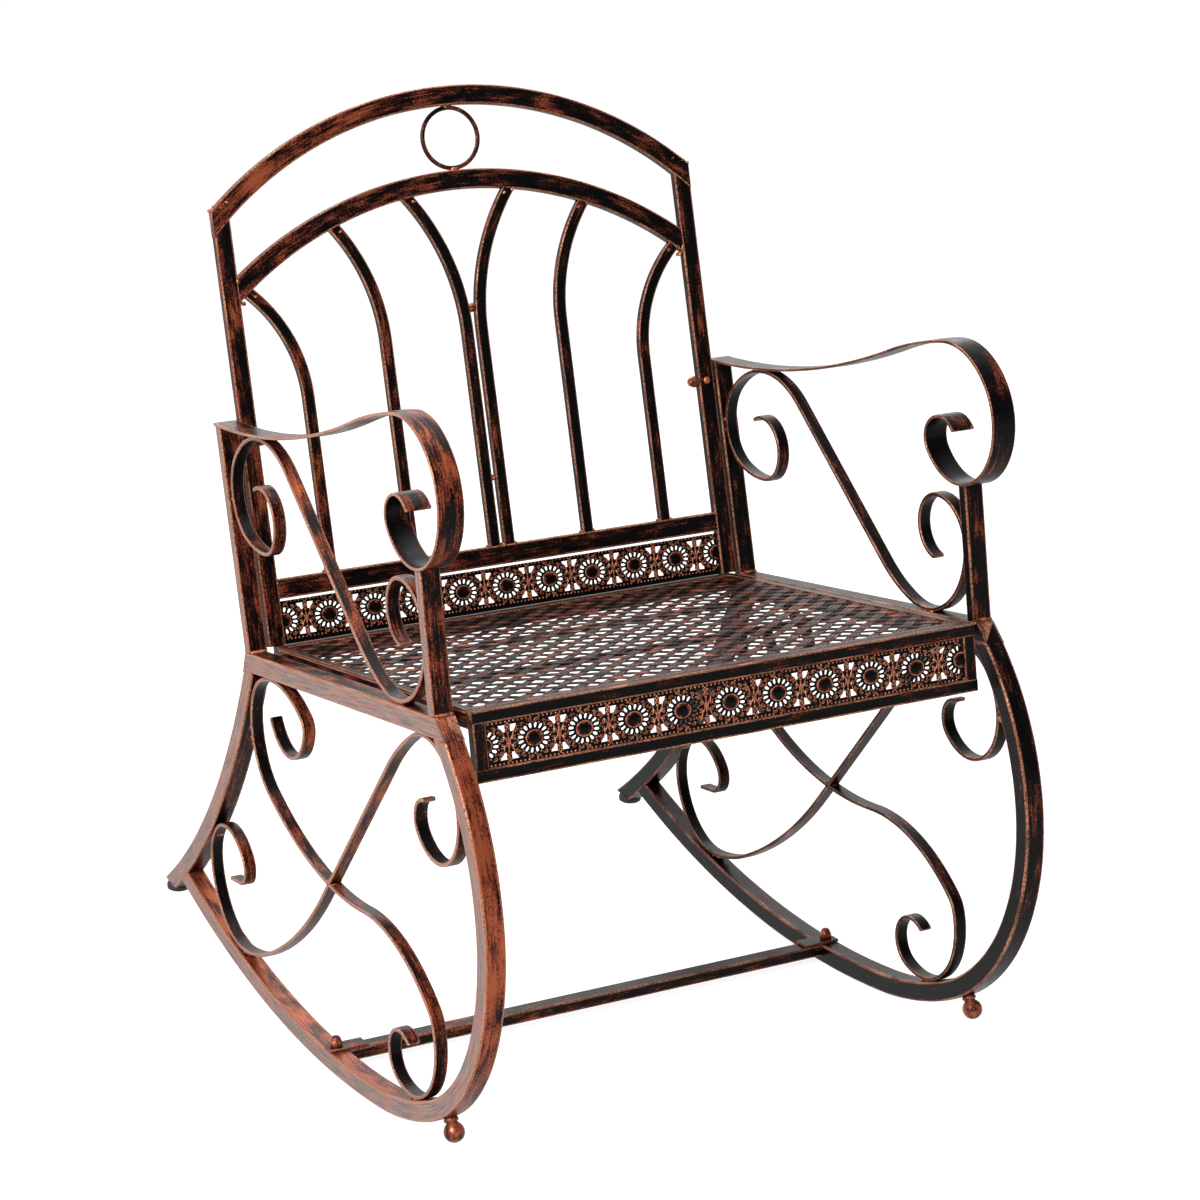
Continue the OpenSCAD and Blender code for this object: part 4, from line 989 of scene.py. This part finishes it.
gaps = np.linalg.norm(scrollPaths["long"][:, None, :2] - scrollPaths["cross"][None, :, :2], axis=-1)
crossing = scrollPaths["long"][np.unravel_index(np.argmin(gaps), gaps.shape)[0], :2]
rows = []
for p, q, angle in touches:
    a = math.radians(angle)
    rows += [(p + d * math.cos(a), q + d * math.sin(a), angle + d, *weld["touch"])
             for d in (-weld["apart"], weld["apart"])]
rows += [(crossing[0] + d, crossing[1] + d * 0.4, angle, *weld["crossing"]) for d, angle in weld["crossingAt"]]
rows += [(p, weld["postQ"], 0, *weld["post"]) for p in weld["postAt"]]
rows += [(p, lowLine, 0, *weld["railEnd"], shift) for p0, p1 in
         ((railFront[0] + 2, railFront[0] + 18), (railRear[0] - 19, railRear[0] - 2))
         for p in np.linspace(p0, p1, 4) for shift in (-weld["railShift"], weld["railShift"])]
for (sideName, sx), firstSeed in zip(sides, weld["frameSeeds"]):
    beads = beadRow(sidePlane(sx * stance["frameX"]), firstSeed, rows)
    addLumps("welds" + sideName, beads, weldFinish, "rubbed_copper")
innerFoot = innerS + math.sqrt((innerR - back["archWide"] / 2) ** 2 - back["inner"] ** 2)
ringTop = innerTop + back["ringAcross"]
rows = []
for sx in signs:
    rows += [(sx * p, q, sx * angle, *size) for p, q, angle, *size in (
        (266.5, 436.5, 0, 7, 5, 11), (250.5, 443, 30, 8, 5.5, 11), (258, 439, 15, 16, 3, 10.8),
        (1.2, innerTop + 0.6, 0, 8, 5.5, 8), (1.2, ringTop - 0.6, 0, 8, 5.5, 8),
        (250, innerFoot + 8, 70, 9, 6, 11), (249.5, innerFoot - 8, 110, 10, 6, 11.4),
        (246, innerFoot - 14, 40, 6, 4, 11), (250, 62, 90, 7, 4, 11), (250, 50, 90, 7, 4, 11),
        (262, 2, 0, 9, 4, 10))]
    rows += [(sx * x + d, back["railTop"] + 0.5, 0, *weld["barFoot"]) for x, drop, radius in back["bars"]
             for d in (-weld["barFootApart"], weld["barFootApart"])]
    rows += [(sx * (p + d), q + 0.3 * d, sx * weld["barTopAngle"], *weld["barTop"]) for p, q in barTops
             for d in weld["barTopAt"]]
beads = beadRow(backFace, weld["backSeed"], rows)
for q, across in ((136, 6.5), (310, 8.6), (314, 8.8)):  # between the two middle bars
    beads += beadRow(backFace, weld["jointSeed"] + q, [(0.2, q, 84, 6, across, 8.6)])
addLumps("weldsBack", beads, weldFinish, "rubbed_copper")
print("welds made")

# CAD pieces whose shape is right keep it and take a finish
for nodeName in ("seat_cross_bars", "seat_spacers", "back_spacers"):
    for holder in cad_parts[nodeName].material_slots:
        holder.material = hiddenFinish

# Camera at the photo's angle: it stands at the front left, 15 degrees above level
view = {"place": (-1.373840, -2.848599, 1.278537), "right": (0.89083043, -0.4531571, -0.03270745),
        "down": (-0.14606558, -0.21748439, -0.96507274), "forward": (0.43021621, 0.8644936, -0.25993237),
        "lens": 98.29, "sensor": 36.0}
camera = bpy.data.objects.new("photoView", bpy.data.cameras.new("photoView"))
bpy.context.collection.objects.link(camera)
rows = [[view["right"][i], -view["down"][i], -view["forward"][i], view["place"][i]] for i in range(3)]
camera.matrix_world = Matrix(rows + [[0, 0, 0, 1]])
camera.data.lens, camera.data.sensor_width = view["lens"], view["sensor"]
bpy.context.scene.camera = camera

# Floor: one wide pale sheet that reads white to the camera and still holds a soft shadow
studio = {"floor": 60.0, "lift": 0.86, "world": 0.4, "white": 1.0, "room": 0.1, "behind": (-0.35, 0.93, 0.1),
          "backdrop": (-0.25, 0.45), "plainWhite": (1, 1, 1, 1)}
reach = studio["floor"] / 2
floorMesh = bpy.data.meshes.new("studioFloor")
floorMesh.from_pydata([(-reach, -reach, 0), (reach, -reach, 0), (reach, reach, 0), (-reach, reach, 0)], [],
                      [(0, 1, 2, 3)])
floor = bpy.data.objects.new("studioFloor", floorMesh)
bpy.context.collection.objects.link(floor)
floorFinish, tree = newMaterial("paleFloor")
rays = addNode(tree, "ShaderNodeLightPath").outputs
place = addNode(tree, "ShaderNodeTexCoord").outputs["Object"]
grain = addNode(tree, "ShaderNodeTexNoise", None, {"Vector": place, "Scale": 3.0}).outputs[0]
seenTone = addNode(tree, "ShaderNodeMix", mixColours, {
    0: grain, 6: toLinear("#a9a9a9"), 7: toLinear("#aeaeae")}).outputs[2]
seen = addNode(tree, "ShaderNodeBsdfDiffuse", None, {"Color": seenTone}).outputs[0]
glow, mirrored = (addNode(tree, "ShaderNodeEmission", None, {
    "Color": studio["plainWhite"], "Strength": studio[key]}).outputs[0] for key in ("lift", "white"))
seenFloor = addNode(tree, "ShaderNodeAddShader", None, {0: seen, 1: glow}).outputs[0]
lit = addNode(tree, "ShaderNodeBsdfDiffuse", None, {"Color": toLinear("#e2e2e2")}).outputs[0]
glossOrLit = addNode(tree, "ShaderNodeMixShader", None, {
    "Fac": rays["Is Glossy Ray"], 1: lit, 2: mirrored}).outputs[0]
both = addNode(tree, "ShaderNodeMixShader", None, {
    "Fac": rays["Is Camera Ray"], 1: glossOrLit, 2: seenFloor}).outputs[0]
addNode(tree, "ShaderNodeOutputMaterial", None, {"Surface": both})
floorMesh.materials.append(floorFinish)

# World: white where it is seen; what the metal mirrors is a white backdrop behind the chair and a dim room in front
world = bpy.data.worlds.new("studioWorld")
bpy.context.scene.world = world
world.use_nodes = True
tree = world.node_tree
tree.nodes.clear()
rays = addNode(tree, "ShaderNodeLightPath").outputs
seen = addNode(tree, "ShaderNodeMath", {"operation": "MAXIMUM"}, {
    0: rays["Is Camera Ray"], 1: rays["Is Transmission Ray"]}).outputs[0]
heading = addNode(tree, "ShaderNodeTexCoord").outputs["Generated"]
rearward = addNode(tree, "ShaderNodeVectorMath", {"operation": "DOT_PRODUCT"}, {
    0: heading, 1: studio["behind"]}).outputs["Value"]
mirrored = addNode(tree, "ShaderNodeMapRange", smooth, {
    "Value": rearward, "From Min": studio["backdrop"][0], "From Max": studio["backdrop"][1],
    "To Min": studio["room"], "To Max": studio["white"]}).outputs[0]
level = addNode(tree, "ShaderNodeMapRange", None, {
    "Value": rays["Is Glossy Ray"], "To Min": studio["world"], "To Max": mirrored}).outputs[0]
level = addNode(tree, "ShaderNodeMapRange", None, {
    "Value": seen, "To Min": level, "To Max": studio["white"]}).outputs[0]
sky = addNode(tree, "ShaderNodeBackground", None, {"Color": studio["plainWhite"], "Strength": level})
addNode(tree, "ShaderNodeOutputWorld", None, {"Surface": sky.outputs[0]})


lamps = {"target": (0, 0, 0.5), "keyFrontLeft": ((-2.6, -1.6, 2.4), (2.0, 2.0), 190.0),
         "topSoft": ((0.2, 0.2, 3.2), (2.6, 2.6), 60.0), "fillRear": ((1.2, 2.6, 2.0), (2.0, 1.6), 20.0)}


def softbox(name, place, size, watts):
    # a lamp that looks at the target: its third axis points away from it, its first is level
    lamp = bpy.data.lights.new(name, "AREA")
    lamp.shape, lamp.size, lamp.size_y, lamp.energy = "RECTANGLE", size[0], size[1], watts
    obj = bpy.data.objects.new(name, lamp)
    bpy.context.collection.objects.link(obj)
    away = np.array(place, float) - np.array(lamps["target"], float)
    away /= np.linalg.norm(away)
    right = np.cross([0, 0, 1.0], away) if abs(away[2]) < 0.99 else np.array([1.0, 0, 0])
    right /= np.linalg.norm(right)
    up = np.cross(away, right)
    obj.matrix_world = Matrix([[right[i], up[i], away[i], place[i]] for i in range(3)] + [[0, 0, 0, 1]])


for name in ("keyFrontLeft", "topSoft", "fillRear"):
    softbox(name, *lamps[name])
bpy.context.scene.view_settings.view_transform = "Standard"

print("camera and light set")
